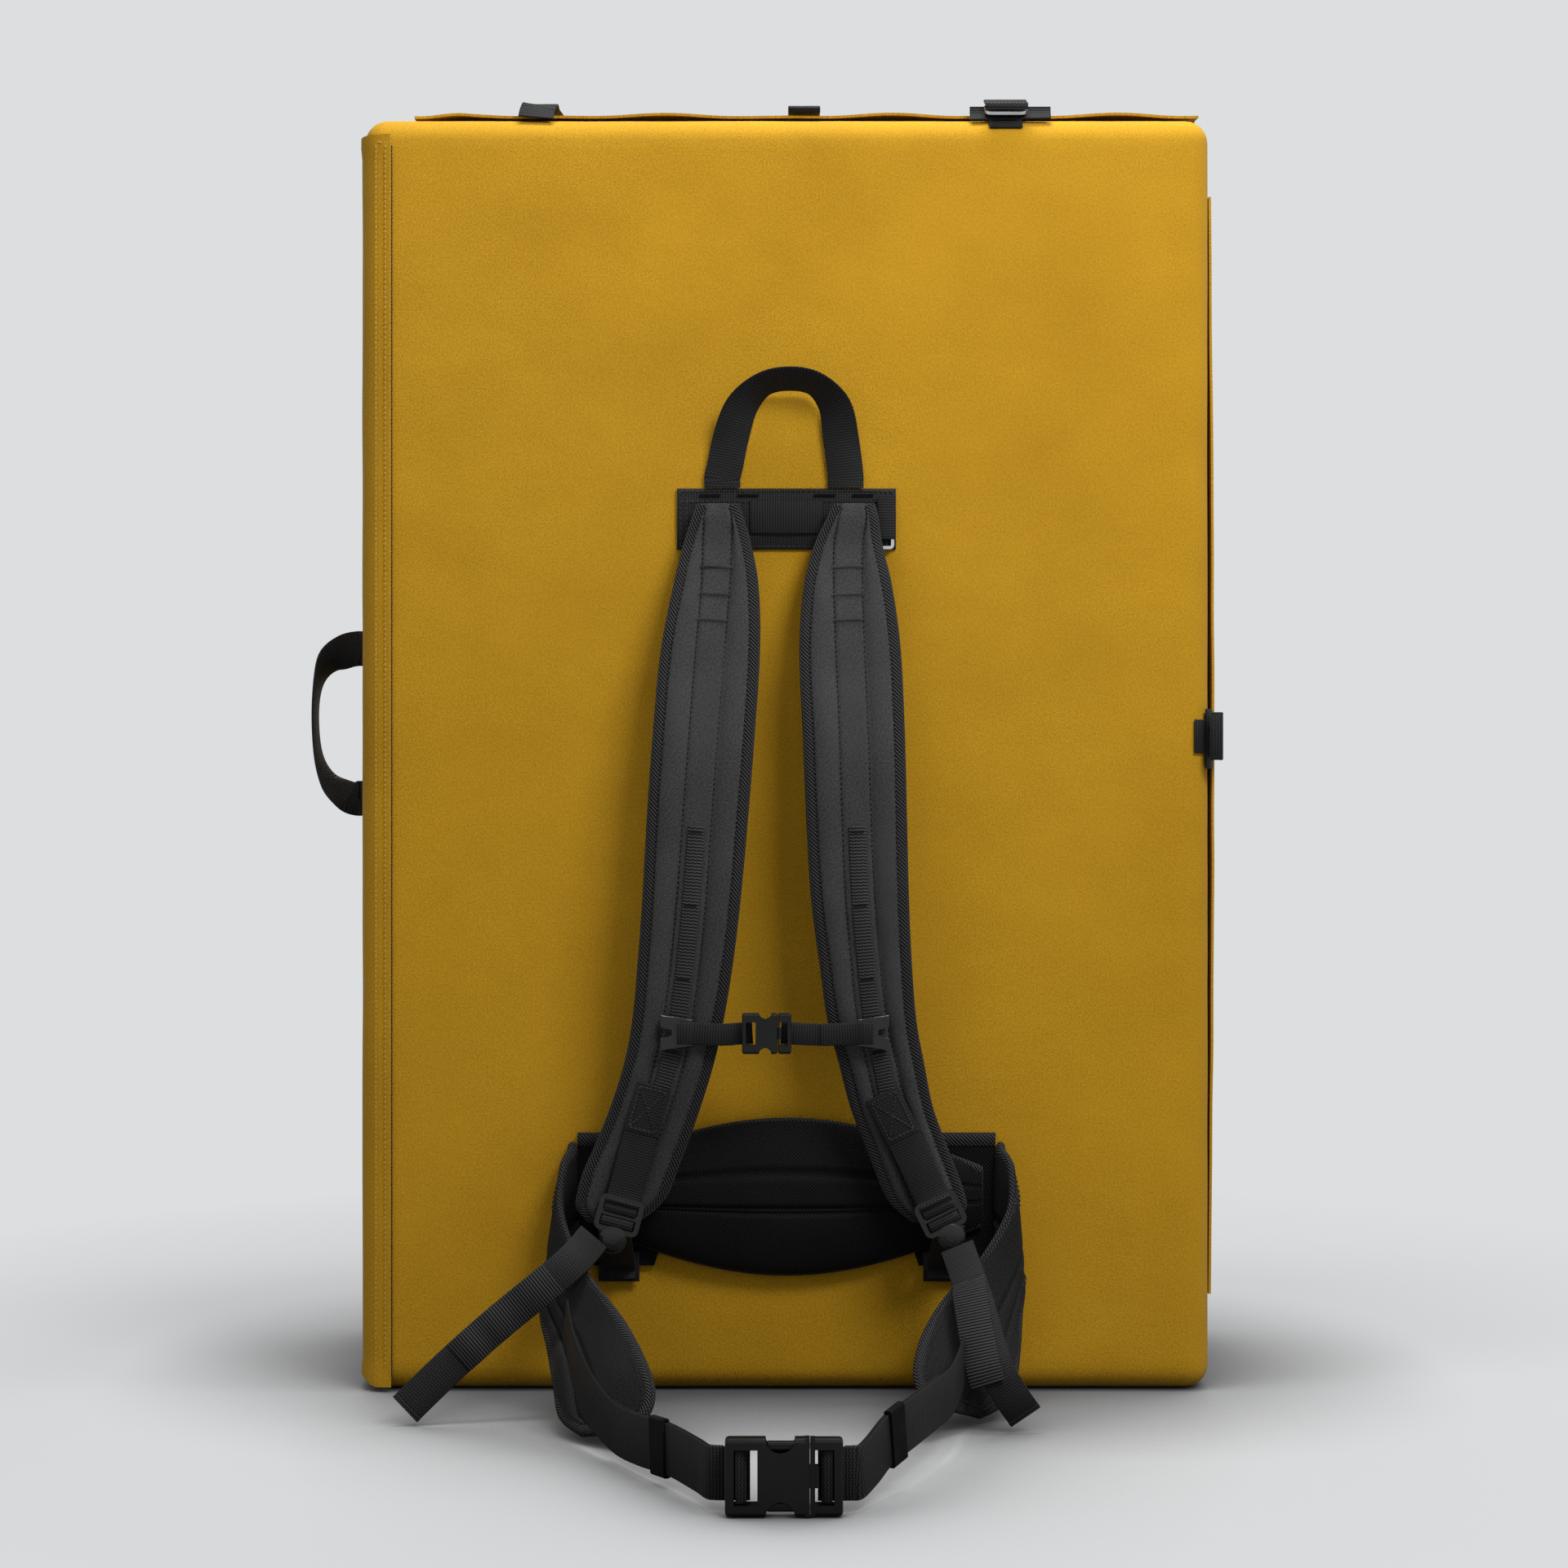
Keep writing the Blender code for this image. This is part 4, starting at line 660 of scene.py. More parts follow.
def webbing_material(name, light, rib=0.0022, column=0.0030, depth=0.0004, cross=0.7,
                     dark=(0.0012, 0.0012, 0.0013)):
    """Woven webbing: ribs across it, broken into columns that are offset like bricks.

    cross is how much the ribs across it show against the cords along it."""
    material, tree, shader = new_material(name, 0.55, sheen=0.01, specular=0.09)
    vector, along, across = flat_coordinates(tree)
    offset = maths(tree, "GREATER_THAN", wave(tree, across, column), 0.5)
    shift = maths(tree, "MULTIPLY", offset, rib * (1 - cross))
    ribs = wave(tree, maths(tree, "ADD", along, shift), rib)
    edges = wave(tree, across, column / 2)
    weave = weighted(tree, (ribs, cross), (edges, 1 - cross))
    fibre = grain(tree, vector, 900.0, 2.0)
    slow = grain(tree, vector, 24.0)
    tone = weighted(tree, (weave, 0.70), (fibre, 0.15), (slow, 0.15))
    tree.links.new(colour_by(tree, tone, dark, light, 0.2, 0.85), shader.inputs["Base Color"])
    bump(tree, shader, weighted(tree, (weave, 1), (fibre, 0.2)), depth, 0.8)
    return material


def solid_material(name, dark, light, roughness, metallic=0.0, scale=240.0, depth=0.00008,
                   specular=0.5):
    """A moulded or metal surface with a fine grain and small changes of gloss."""
    material, tree, shader = new_material(name, roughness, metallic, specular=specular)
    place = add_node(tree, "ShaderNodeTexCoord").outputs["Object"]
    fine = grain(tree, place, scale)
    slow = grain(tree, place, 30.0, 4.0)
    tree.links.new(colour_by(tree, slow, dark, light), shader.inputs["Base Color"])
    gloss = maths(tree, "MULTIPLY_ADD", slow, 0.25, roughness - 0.12)
    tree.links.new(gloss, shader.inputs["Roughness"])
    bump(tree, shader, fine, depth, 0.5)
    return material


def foam_material(name, dark, light, scale):
    material, tree, shader = new_material(name, 0.95)
    place = add_node(tree, "ShaderNodeTexCoord").outputs["Object"]
    cells = add_node(tree, "ShaderNodeTexVoronoi", links=[("Vector", place)],
                     Scale=scale).outputs["Distance"]
    tree.links.new(colour_by(tree, cells, dark, light, 0.1, 0.6), shader.inputs["Base Color"])
    bump(tree, shader, cells, 0.0006, 0.8)
    return material


def grey(value, blue):
    return value, value, blue


MUSTARD = twill_material("mustard_twill", (0.34, 0.168, 0.004), (0.60, 0.325, 0.014),
                         0.0018, 0.00022, 0.8, 0.05, 0.0012)
CHARCOAL = twill_material("charcoal_twill", grey(0.010, 0.0105), grey(0.074, 0.076),
                          0.0018, 0.0004, 0.8, 0.03, 0.0012, specular=0.08, cord=0.28)
DARK_TWILL = twill_material("dark_twill", grey(0.0012, 0.0013), grey(0.014, 0.0145),
                            0.0028, 0.0008, 0.7, 0.01, 0.0010, specular=0.05, cord=0.45)
WING_TWILL = twill_material("wing_twill", grey(0.0025, 0.0027), grey(0.022, 0.023),
                            0.0020, 0.0004, 0.7, 0.01, 0.0014, specular=0.06)
BINDING_TWILL = twill_material("binding_twill", grey(0.002, 0.0021), grey(0.048, 0.050),
                               0.0032, 0.0010, 0.7, 0.02, specular=0.08, cord=0.65)
BLACK_WEBBING = webbing_material("black_webbing", grey(0.034, 0.035))
BELT_MATERIAL = webbing_material("belt_webbing", grey(0.030, 0.031), column=0.0044, cross=0.8)
TAIL_MATERIAL = webbing_material("tail_webbing", grey(0.046, 0.048), 0.0024, 0.0040, 0.0005, 0.95)
RAIL_MATERIAL = webbing_material("rail_webbing", grey(0.060, 0.062), 0.0026, 0.0046, 0.0005, 0.85,
                                 grey(0.002, 0.0022))
BLACK_THREAD = solid_material("black_thread", grey(0.002, 0.0022), grey(0.012, 0.013), 0.6,
                              specular=0.1)
GREY_THREAD = solid_material("grey_thread", grey(0.020, 0.021), grey(0.060, 0.063), 0.6,
                             specular=0.1)
MUSTARD_THREAD = solid_material("mustard_thread", (0.46, 0.26, 0.03), (0.60, 0.36, 0.05), 0.65)
# Dark brown thread: a painted shadow along the spine lap's free edge
SHADOW_SEAM_THREAD = solid_material("shadow_seam_thread", (0.030, 0.015, 0.002), (0.060, 0.032, 0.004), 0.8)
PLASTIC = solid_material("buckle_plastic", grey(0.0020, 0.0022), grey(0.005, 0.0054), 0.36,
                         scale=900.0, depth=0.00004, specular=0.26)
LOCK_PLASTIC = solid_material("lock_plastic", grey(0.003, 0.0032), grey(0.007, 0.0074), 0.30,
                              scale=900.0, depth=0.00005, specular=0.45)
STEEL = solid_material("hook_steel", grey(0.50, 0.51), grey(0.72, 0.73), 0.30, 1.0, 500.0)
CLOSED_FOAM = foam_material("closed_cell_foam", (0.14, 0.145, 0.16), (0.24, 0.25, 0.27), 700.0)
KEEPER_ELASTIC = solid_material("keeper_elastic", grey(0.0025, 0.0027), grey(0.012, 0.013), 0.8,
                                scale=1500.0, depth=0.0004, specular=0.05)
OPEN_FOAM = foam_material("open_cell_foam", (0.55, 0.52, 0.36), (0.80, 0.77, 0.60), 420.0)


# Covers and foam

def lattice(low, high, radius, step):
    """Places along one side of a rounded box: close together on its edges, even between."""
    flat_low, flat_high = low + radius, high - radius
    count = max(1, round((flat_high - flat_low) / step))
    return ([low + radius * k / 4 for k in range(4)] + spaced(flat_low, flat_high, count)
            + [high - radius * k / 4 for k in range(3, -1, -1)])


def rounded_box(name, low, high, radius, step, material, body, shape):
    """A box with round edges as one even mesh. shape moves a point along its normal."""
    axes = [lattice(low[k], high[k], radius, step) for k in range(3)]
    last = [len(axis) - 1 for axis in axes]
    index = {}
    verts = []
    flat = []

    def vertex(key):
        if key not in index:
            place = Vector([axes[k][key[k]] for k in range(3)])
            core = Vector([max(low[k] + radius, min(high[k] - radius, place[k]))
                           for k in range(3)])
            out = (place - core).normalized()
            place = core + out * radius
            index[key] = len(verts)
            verts.append(place + out * shape(place, out))
            flat.append((place.x + place.y, place.z + place.y, 0.0))
        return index[key]

    faces = []
    for axis in range(3):
        u, v = [k for k in range(3) if k != axis]
        for side in (0, last[axis]):
            for i in range(last[u]):
                for j in range(last[v]):
                    face = []
                    for a, b in ((i, j), (i + 1, j), (i + 1, j + 1), (i, j + 1)):
                        key = [side] * 3
                        key[u], key[v] = a, b
                        face.append(vertex(tuple(key)))
                    faces.append(tuple(face[::-1] if (side > 0) == (axis == 1) else face))
    return make_piece(name, verts, faces, material, body, flat)


def cover_shape(place, out):
    """How far the cover sinks in: soft hollows over the foam, more along its edges."""
    broad = noise.noise(place * 5.0)
    fine = noise.noise(place * 21.0)
    edge = min(place.x - LEFT, RIGHT - place.x, place.z, PAD_HEIGHT - place.z)
    near_edge = math.exp(-max(edge, 0.0) / 0.04)
    depth = COVER_SOFTNESS * (0.5 + 0.45 * broad + 0.35 * near_edge * fine)
    return -depth * (0.35 + 0.65 * abs(out.y))


def add_covers():
    for prefix, low, high, body in (("front", COVER_LOW, COVER_HIGH, HARNESS),
                                    ("back", BACK_LOW, BACK_HIGH, BACK_HALF)):
        cover = rounded_box(prefix + "_twill_cover", low, high, EDGE_RADIUS, COVER_STEP, MUSTARD,
                            body, cover_shape)
        dress(cover, TWILL_SLOT, prefix + "_cover")
        for layer, material, slot in (("_base_foam", CLOSED_FOAM, "closed_cell_foam"),
                                      ("_core_foam", OPEN_FOAM, "open_cell_foam"),
                                      ("_landing_foam", CLOSED_FOAM, "closed_cell_foam")):
            foam = foam_block(prefix + layer, low, high, material, body)
            dress(foam, slot, prefix + layer)


def rounded_ring(low, high, y, radius, steps=5):
    """A rectangle with round corners, standing in the plane of this Y."""
    ring = []
    for x_side, z_side, start in ((1, 1, 0), (0, 1, 1), (0, 0, 2), (1, 0, 3)):
        x = (low.x + radius, high.x - radius)[x_side]
        z = (low.z + radius, high.z - radius)[z_side]
        for step in range(steps + 1):
            angle = (start + step / steps) * math.pi / 2
            ring.append(Vector((x + radius * math.cos(angle), y, z + radius * math.sin(angle))))
    return ring


def foam_block(node, cover_low, cover_high, material, body):
    """One foam layer, rounded where it lies in the cover's round edges."""
    low, high = corners(node)
    inset = Vector((FOAM_INSET, FOAM_INSET, FOAM_INSET))
    inner_low = cover_low + inset
    inner_high = cover_high - inset
    radius = EDGE_RADIUS - FOAM_INSET
    rings = []
    for y in spaced(max(low.y, inner_low.y), min(high.y, inner_high.y), 12):
        depth = min(y - inner_low.y, inner_high.y - y, radius)
        corner = max(0.002, math.sqrt(max(0.0, radius ** 2 - (radius - depth) ** 2)))
        shrink = Vector((radius - corner, 0, radius - corner))
        rings.append(rounded_ring(inner_low + shrink, inner_high - shrink, y, corner))
    return loft(node + "_block", rings, material, body)


def spine_outline(sign, face_y, edge_y):
    """The spine cover's path round one half: from its lap to the fold, in plan."""
    lap_y = face_y - sign * 0.0019
    round_y = face_y + sign * EDGE_RADIUS
    points = [(LEFT + LAP_WIDTH, lap_y), (LEFT + LAP_WIDTH - 0.0025, lap_y + sign * 0.0003),
              (LEFT + EDGE_RADIUS, face_y - sign * 0.0013)]
    radius = EDGE_RADIUS + 0.0013
    for step in range(1, 9):
        angle = math.pi / 2 * step / 8
        points.append((LEFT + EDGE_RADIUS - radius * math.sin(angle),
                       round_y - sign * radius * math.cos(angle)))
    for share in (0.12, 0.28, 0.5, 0.75, 1.0):
        points.append((SPINE_X + 0.0006 * math.cos(share * math.pi),
                       round_y + (edge_y - round_y) * share))
    return points


def spine_grid(outline, heights, sign):
    """The spine cover's points: cut back at its foot and rippled along the fold side."""
    grid = []
    for z in heights:
        line = []
        for x, y in outline:
            place = Vector((x, y, z))
            if z < SPINE_CUT and x < LEFT + 0.010:
                place.z = z + (SPINE_CUT - z) * min(1.0, (LEFT + 0.010 - x) / 0.02) * 0.5
            if x < LEFT + 0.004:
                place -= ALONG_X * (0.0005 * noise.noise(Vector((x * 30, y * 30, z * 14))))
            line.append(place)
        grid.append(line[::sign])
    return grid


def add_spine():
    """The spine cover: each half of it laps onto its own side of the pad."""
    heights = spaced(SPINE_FOOT, SPINE_TOP, SPINE_STEPS)
    for prefix, sign, face_y, edge_y, half in (
            ("front", 1, FRONT, FOLD_Y - 0.0002, HARNESS),
            ("back", -1, BACK, FOLD_Y + 0.0002, BACK_HALF)):
        outline = spine_outline(sign, face_y, edge_y)
        columns = len(outline) - 1

        def upper(i, j):
            place = (j if sign > 0 else 1 - j) * columns
            return CLOTH / 2 + (HEM if i < 0.012 or i > 0.985 or place < 1.5 else 0.0)

        piece = cloth_sheet(prefix + "_spine_cover", spine_grid(outline, heights, sign), MUSTARD,
                            None, upper, CLOTH / 2)
        dress(piece, TWILL_SLOT, prefix + "_spine_lap", "spine_" + prefix + "_panel")
        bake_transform(piece)

        out = OUT * sign
        lap_x = LEFT + LAP_WIDTH

        def line_up(x, lift, places):
            return [(Vector((lap_x + x, face_y - sign * lift, z)), out) for z in places]

        rows = [line_up(-0.0045, 0.0022 + HEM, heights[2:-1]),
                line_up(-0.0125, 0.0022, heights[2:-1])]
        rows.append([(Vector((x, face_y - sign * 0.0024, SPINE_TOP - 0.007)), out)
                     for x in (LEFT + 0.014, lap_x - 0.003)])
        stitch_rows(prefix + "_spine_stitches", rows, MUSTARD_THREAD, half, TWILL_SLOT)
        # Painted shadow: a continuous dark seam on the lap's free edge stands in for the shadow gap
        # beside it
        stitch_rows(prefix + "_lap_shadow_seam", [line_up(0.0006, 0.0012, heights[1:-1])], SHADOW_SEAM_THREAD,
                    half, TWILL_SLOT, 0.0030, 0.0030, 0.0007)
        low, high = corners(prefix + "_hinge_tape")
        middle = (low + high) / 2
        path = [(Vector((middle.x, middle.y, z)), -OUT) for z in (low.z, middle.z, high.z)]
        dress(ribbon(prefix + "_hinge_webbing", path, high.y - low.y, BLACK_WEBBING, half),
              WEBBING_SLOT, prefix + "_hinge_tape")


# Flaps and closures

def top_flap_height(across, share):
    """The top flap's height.

    It lies flat at its left end, rises to a wavy free edge and turns down there."""
    slow = math.sin(across * TOP_FLAP_WAVES * math.pi + 0.8)
    wave_height = TOP_FLAP_WAVE * (slow + 0.6 * math.sin(across * TOP_FLAP_WAVES * 2 * math.pi))
    start = min(1.0, across / 0.07)
    rise = (TOP_FLAP_RISE + wave_height) * (0.25 + 0.75 * start * start * (3 - 2 * start))
    turned = TOP_FLAP_TURN * max(0.0, (share - 0.88) / 0.12) ** 1.6
    return HINGE_Z + rise * share * share - turned * start


def top_flap_point(share, across):
    x = TOP_FLAP_LEFT + (TOP_FLAP_RIGHT - TOP_FLAP_LEFT) * across
    y = FLAP_BACK_Y + (FREE_Y - FLAP_BACK_Y) * share
    ripple = FLAP_RIPPLE * share * noise.noise(Vector((x * 22, y * 18, 3.1)))
    return Vector((x - 0.003 * share * across, y, top_flap_height(across, share) + ripple))


def side_flap_point(share, across):
    bulge = SIDE_FLAP_BULGE * math.sin(share * math.pi) * across
    z = SIDE_FLAP_BOTTOM + (SIDE_FLAP_TOP - SIDE_FLAP_BOTTOM) * share
    y = FLAP_BACK_Y + (FREE_Y - FLAP_BACK_Y) * across
    ripple = FLAP_RIPPLE * across * noise.noise(Vector((7.7, y * 18, z * 16)))
    return Vector((FLAP_X + bulge + ripple, y, z))


def add_flap(side, point, rows, columns, hemmed, out, seam):
    """One flap: hemmed says where its hems lie, seam lists the grid places of its stitches."""
    grid = [[point(i / rows, j / columns) for j in range(columns + 1)] for i in range(rows + 1)]

    def hem(i, j):
        return CLOTH / 2 + (HEM / 2 if hemmed(i, j) else 0.0)

    flap = cloth_sheet(side + "_flap_cloth", grid, MUSTARD, None, hem, hem)
    dress(flap, TWILL_SLOT, side + "_flap")
    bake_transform(flap)
    line = [(grid[i][j] + out * (CLOTH / 2 + HEM / 2 + 0.0001), out) for i, j in seam]
    stitch_rows(side + "_flap_stitches", [line], MUSTARD_THREAD, side + "_closure", TWILL_SLOT)


def add_flaps():
    add_flap("top", top_flap_point, 40, 140, lambda i, j: i > 0.93 or j < 0.02 or j > 0.98,
             ALONG_Z,
             [(38, j) for j in range(2, 139)])
    add_flap("side", side_flap_point, 100, 24, lambda i, j: j > 0.92 or i < 0.015 or i > 0.985,
             ALONG_X,
             [(i, 22) for i in range(2, 99)])


def corner_rows(centre, upright, start, end, place, lift):
    """Points that follow a rounded edge of the pad between two angles in degrees."""
    rows = []
    radius = EDGE_RADIUS + lift
    for angle in spaced(math.radians(start), math.radians(end), 8):
        a = centre[0] + radius * math.cos(angle)
        b = centre[1] + radius * math.sin(angle)
        rows.append((a, b, place) if upright else (place, a, b))
    return rows


def add_closures():
    """The tab, the closing straps with their hooks, and the loops they hook into."""
    x, y, z = TAB_X, FREE_Y, 1.0790
    rows = [((x + 0.002, y + 0.030, z), ALONG_X), ((x, y + 0.012, z + 0.0004), ALONG_X),
            ((x, y - 0.002, z + 0.0010), ALONG_X), ((x - 0.002, y - 0.007, z - 0.0040), ALONG_X),
            ((x - 0.003, y - 0.012, z - 0.0118), (1, 0, -0.05))]
    strip("top_flap_pull_tab", "top_flap_tab", rows, 0.030, "top_closure")
    x = TOP_STRAP_X
    rows = [(x, y + reach, height) for reach, height in
            ((0.060, 1.0793), (0.030, 1.0800), (0.010, 1.0803), (-0.001, 1.0800))]
    strip("top_closing_webbing", "top_closing_strap", rows, STRAP_WEBBING, "top_closure", ALONG_X)
    low = corners("top_hook")[0]
    rows = [(x, y - 0.0018, 1.0830), (x, y - 0.0044, 1.0831), (x, y - 0.0085, 1.0800),
            (x, low.y - 0.0014, 1.0770), (x, low.y - 0.0015, low.z + 0.0035)]
    strip("top_hook_wrap", None, rows, 0.036, "top_hook_body", ALONG_X)
    low, high = corners("side_hook")
    middle_z = (low.z + high.z) / 2
    rows = [(high.x + 0.0010, low.y + 0.014, middle_z), (high.x + 0.0012, low.y + 0.003, middle_z),
            (high.x - 0.0002, low.y - 0.0014, middle_z), (low.x + 0.0002, low.y - 0.0016, middle_z),
            (low.x - 0.0030, low.y - 0.0006, middle_z)]
    strip("side_hook_wrap", None, rows, high.z - low.z + 0.004, "side_hook_body", ALONG_Z)
    edge = (FRONT + EDGE_RADIUS, PAD_HEIGHT - EDGE_RADIUS)
    strip("top_hook_loop", "top_hook_anchor", corner_rows(edge, False, 150, 98, x, 0.0012),
          STRAP_WEBBING, HARNESS, ALONG_X)
    rows = [(x + 0.004, reach, height) for reach, height in
            ((-0.0585, 1.0655), (-0.0560, 1.0682), (-0.0540, 1.0712), (-0.0532, 1.0745),
             (-0.0530, 1.0770))]
    strip("top_hook_patch", None, rows, 0.068, HARNESS, Vector((1, 0, 0.03)))
    rows = [(FLAP_LOOP_X, y + reach, height) for reach, height in
            ((0.026, 1.0772), (0.010, 1.0784), (-0.002, 1.0784), (-0.0045, 1.0765),
             (-0.002, 1.0735))]
    strip("top_flap_loop", None, rows, 0.027, "top_closure", ALONG_X)
    rows = [(FLAP_X + SIDE_FLAP_BULGE + 0.0023, y + reach, SIDE_STRAP_Z)
            for reach in (0.060, 0.040, 0.020, -0.001)]
    strip("side_closing_webbing", "side_closing_strap", rows, STRAP_WEBBING, "side_closure",
          ALONG_Z)
    edge = (RIGHT - EDGE_RADIUS, FRONT + EDGE_RADIUS)
    strip("side_hook_loop", "side_hook_anchor",
          corner_rows(edge, True, -14, -74, SIDE_STRAP_Z, 0.0012), STRAP_WEBBING, HARNESS, ALONG_Z)
    strip("side_hook_patch", None, corner_rows(edge, True, -4, -46, SIDE_STRAP_Z - 0.002, 0.0030),
          0.050, HARNESS, ALONG_Z)


# Yoke, loop and handle

def add_yoke():
    low, high = corners("yoke_band")
    middle_z = (low.z + high.z) / 2
    rows = [(x, (low.y + high.y) / 2, middle_z) for x in (low.x, -0.03, 0.03, high.x)]
    strip("yoke_webbing", "yoke_band", rows, WIDE_WEBBING, HARNESS, ALONG_Z)
    rows = [(x, front(0.0029 + depth), middle_z + 0.0015) for x, depth in
            ((-0.030, 0.0), (-0.020, 0.0006), (0.0, 0.0011), (0.020, 0.0006), (0.030, 0.0))]
    strip("yoke_upper_webbing", None, rows, 0.028, HARNESS, ALONG_Z)
    y = front(0.0021)
    ends = [((low.x + 0.002, z), (high.x - 0.002, z))
            for z in (high.z - 0.0025, high.z - 0.011, low.z + 0.0025)]
    ends += [((x, low.z + 0.002), (x, high.z - 0.002))
             for x in (low.x + 0.003, low.x + 0.008, high.x - 0.003, high.x - 0.008)]
    lines = [[(Vector((x, y, z)), OUT) for x, z in pair] for pair in ends]
    stitch_rows("yoke_stitches", lines, GREY_THREAD, HARNESS, WEBBING_SLOT)
    for side, sign in (("left", -1), ("right", 1)):
        for index, x in enumerate((0.032, 0.064)):
            bar_tack("yoke_tack_%s_%d" % (side, index),
                     Vector((sign * x, y - 0.0004, high.z - 0.006)), ALONG_X, OUT, 0.018, 0.0022,
                     BLACK_THREAD, HARNESS, WEBBING_SLOT)
    rows = [((GRAB_X + GRAB_SPAN * x, front(GRAB_LIFT + GRAB_STANDOFF * depth),
              GRAB_FOOT + GRAB_RISE * rise), across) for x, depth, rise, *across in GRAB_SHARES]
    strip("grab_loop_webbing", "grab_loop", rows, HANDLE_WEBBING, "grab_loop_body")
    for name in ("left_ring", "right_ring", "top_hook", "side_hook"):
        finish_node(name, STEEL, 0.0008)
    ring_low, ring_high = corners("right_ring")
    x = ring_high.x - 0.0065
    y = ring_low.y - 0.0012
    rows = [(x, y + 0.0008, high.z - 0.006), (x, y, ring_high.z + 0.001),
            (x, y, ring_high.z - 0.006), (x, y + 0.0002, ring_low.z + 0.0085)]
    strip("right_ring_loop", None, rows, 0.015, HARNESS, ALONG_X)


def add_handle():
    rows = [((SPINE_LOW[0] - SEAT_GAP - HANDLE_REACH * reach, 0.0, HANDLE_TOP - HANDLE_SPAN * down),
             (0, y, z)) for reach, down, y, z in HANDLE_SHARES]
    strip("side_handle_webbing", "side_handle", rows, HANDLE_WEBBING, "carry_handle")


def add_bevel(piece, width, segments=3):
    bevel = piece.modifiers.new("edges", "BEVEL")
    bevel.width = width
    bevel.segments = segments
    return bevel


def finish_node(name, material, width, segments=3):
    """Gives a CAD node its material and soft edges."""
    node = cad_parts[name]
    node.data.materials.clear()
    node.data.materials.append(material)
    bevel = add_bevel(node, width, segments)
    bevel.limit_method = "ANGLE"
    bevel.angle_limit = BEVEL_ANGLE


# Shoulder straps

def strap_rows(side):
    """(centre, half width, share down) along a shoulder strap."""
    top_x, spread, table = STRAPS[side]
    return [(Vector((top_x + spread * across, front(STRAP_STANDOFF * stand + STRAP_THICKNESS / 2),
                     STRAP_TOP - STRAP_DROP * down)), STRAP_WIDTH * width / 2, down)
            for down, across, width, stand in curve(table)]


def strap_half(along, offset, half):
    """Half the strap's thickness at a distance from its middle line: thin bound edges, full
    sides, and between them a channel of even width with its two sewn grooves."""
    channel = min(CHANNEL_HALF, half * 0.55)
    inner = half - BINDING_WIDTH * 0.75
    if offset >= inner:
        value = EDGE_HALF
    elif offset > channel:
        share = (inner - offset) / (inner - channel)
        value = EDGE_HALF + 0.0046 * math.sin(math.pi * min(1.0, share * 1.02)) ** 0.5
        value = max(value, EDGE_HALF + 0.0024 * min(1.0, share * 3))
    else:
        value = EDGE_HALF + 0.0029 + 0.0005 * math.cos(offset / channel * math.pi / 2)
    value -= 0.0013 * math.exp(-((offset - channel) / 0.0012) ** 2)
    ends = min(1.0, 0.45 + 9 * along, 0.45 + 9 * (1 - along))
    return EDGE_HALF + (value - EDGE_HALF) * ends


def strap_surface(rows, share, offset):
    """A point on the front of a strap's middle line, its direction across and its normal."""
    last = len(rows) - 1
    k = next((i for i in range(last) if rows[i + 1][2] >= share), last - 1)
    t = (share - rows[k][2]) / (rows[k + 1][2] - rows[k][2])
    centre = rows[k][0].lerp(rows[k + 1][0], t)
    down = (rows[min(k + 2, last)][0] - rows[max(k - 1, 0)][0]).normalized()
    normal = toward(down.cross(ALONG_X).normalized(), OUT)
    return centre + normal * (STRAP_SKIN + offset), down.cross(normal).normalized(), normal


def open_outline(grid, normals, step):
    """(point, normal, inner neighbour) down one side of a grid, along its end and back up."""
    count, columns = len(grid), len(grid[0]) - 1
    keys = [(i, 0, i, 1) for i in range(count)]
    keys += [(-1, j, -2, j) for j in range(step, columns, step)]
    keys += [(i, -1, i, -2) for i in range(count - 1, -1, -1)]
    return [(grid[i][j], normals[i][j], grid[k][n]) for i, j, k, n in keys]


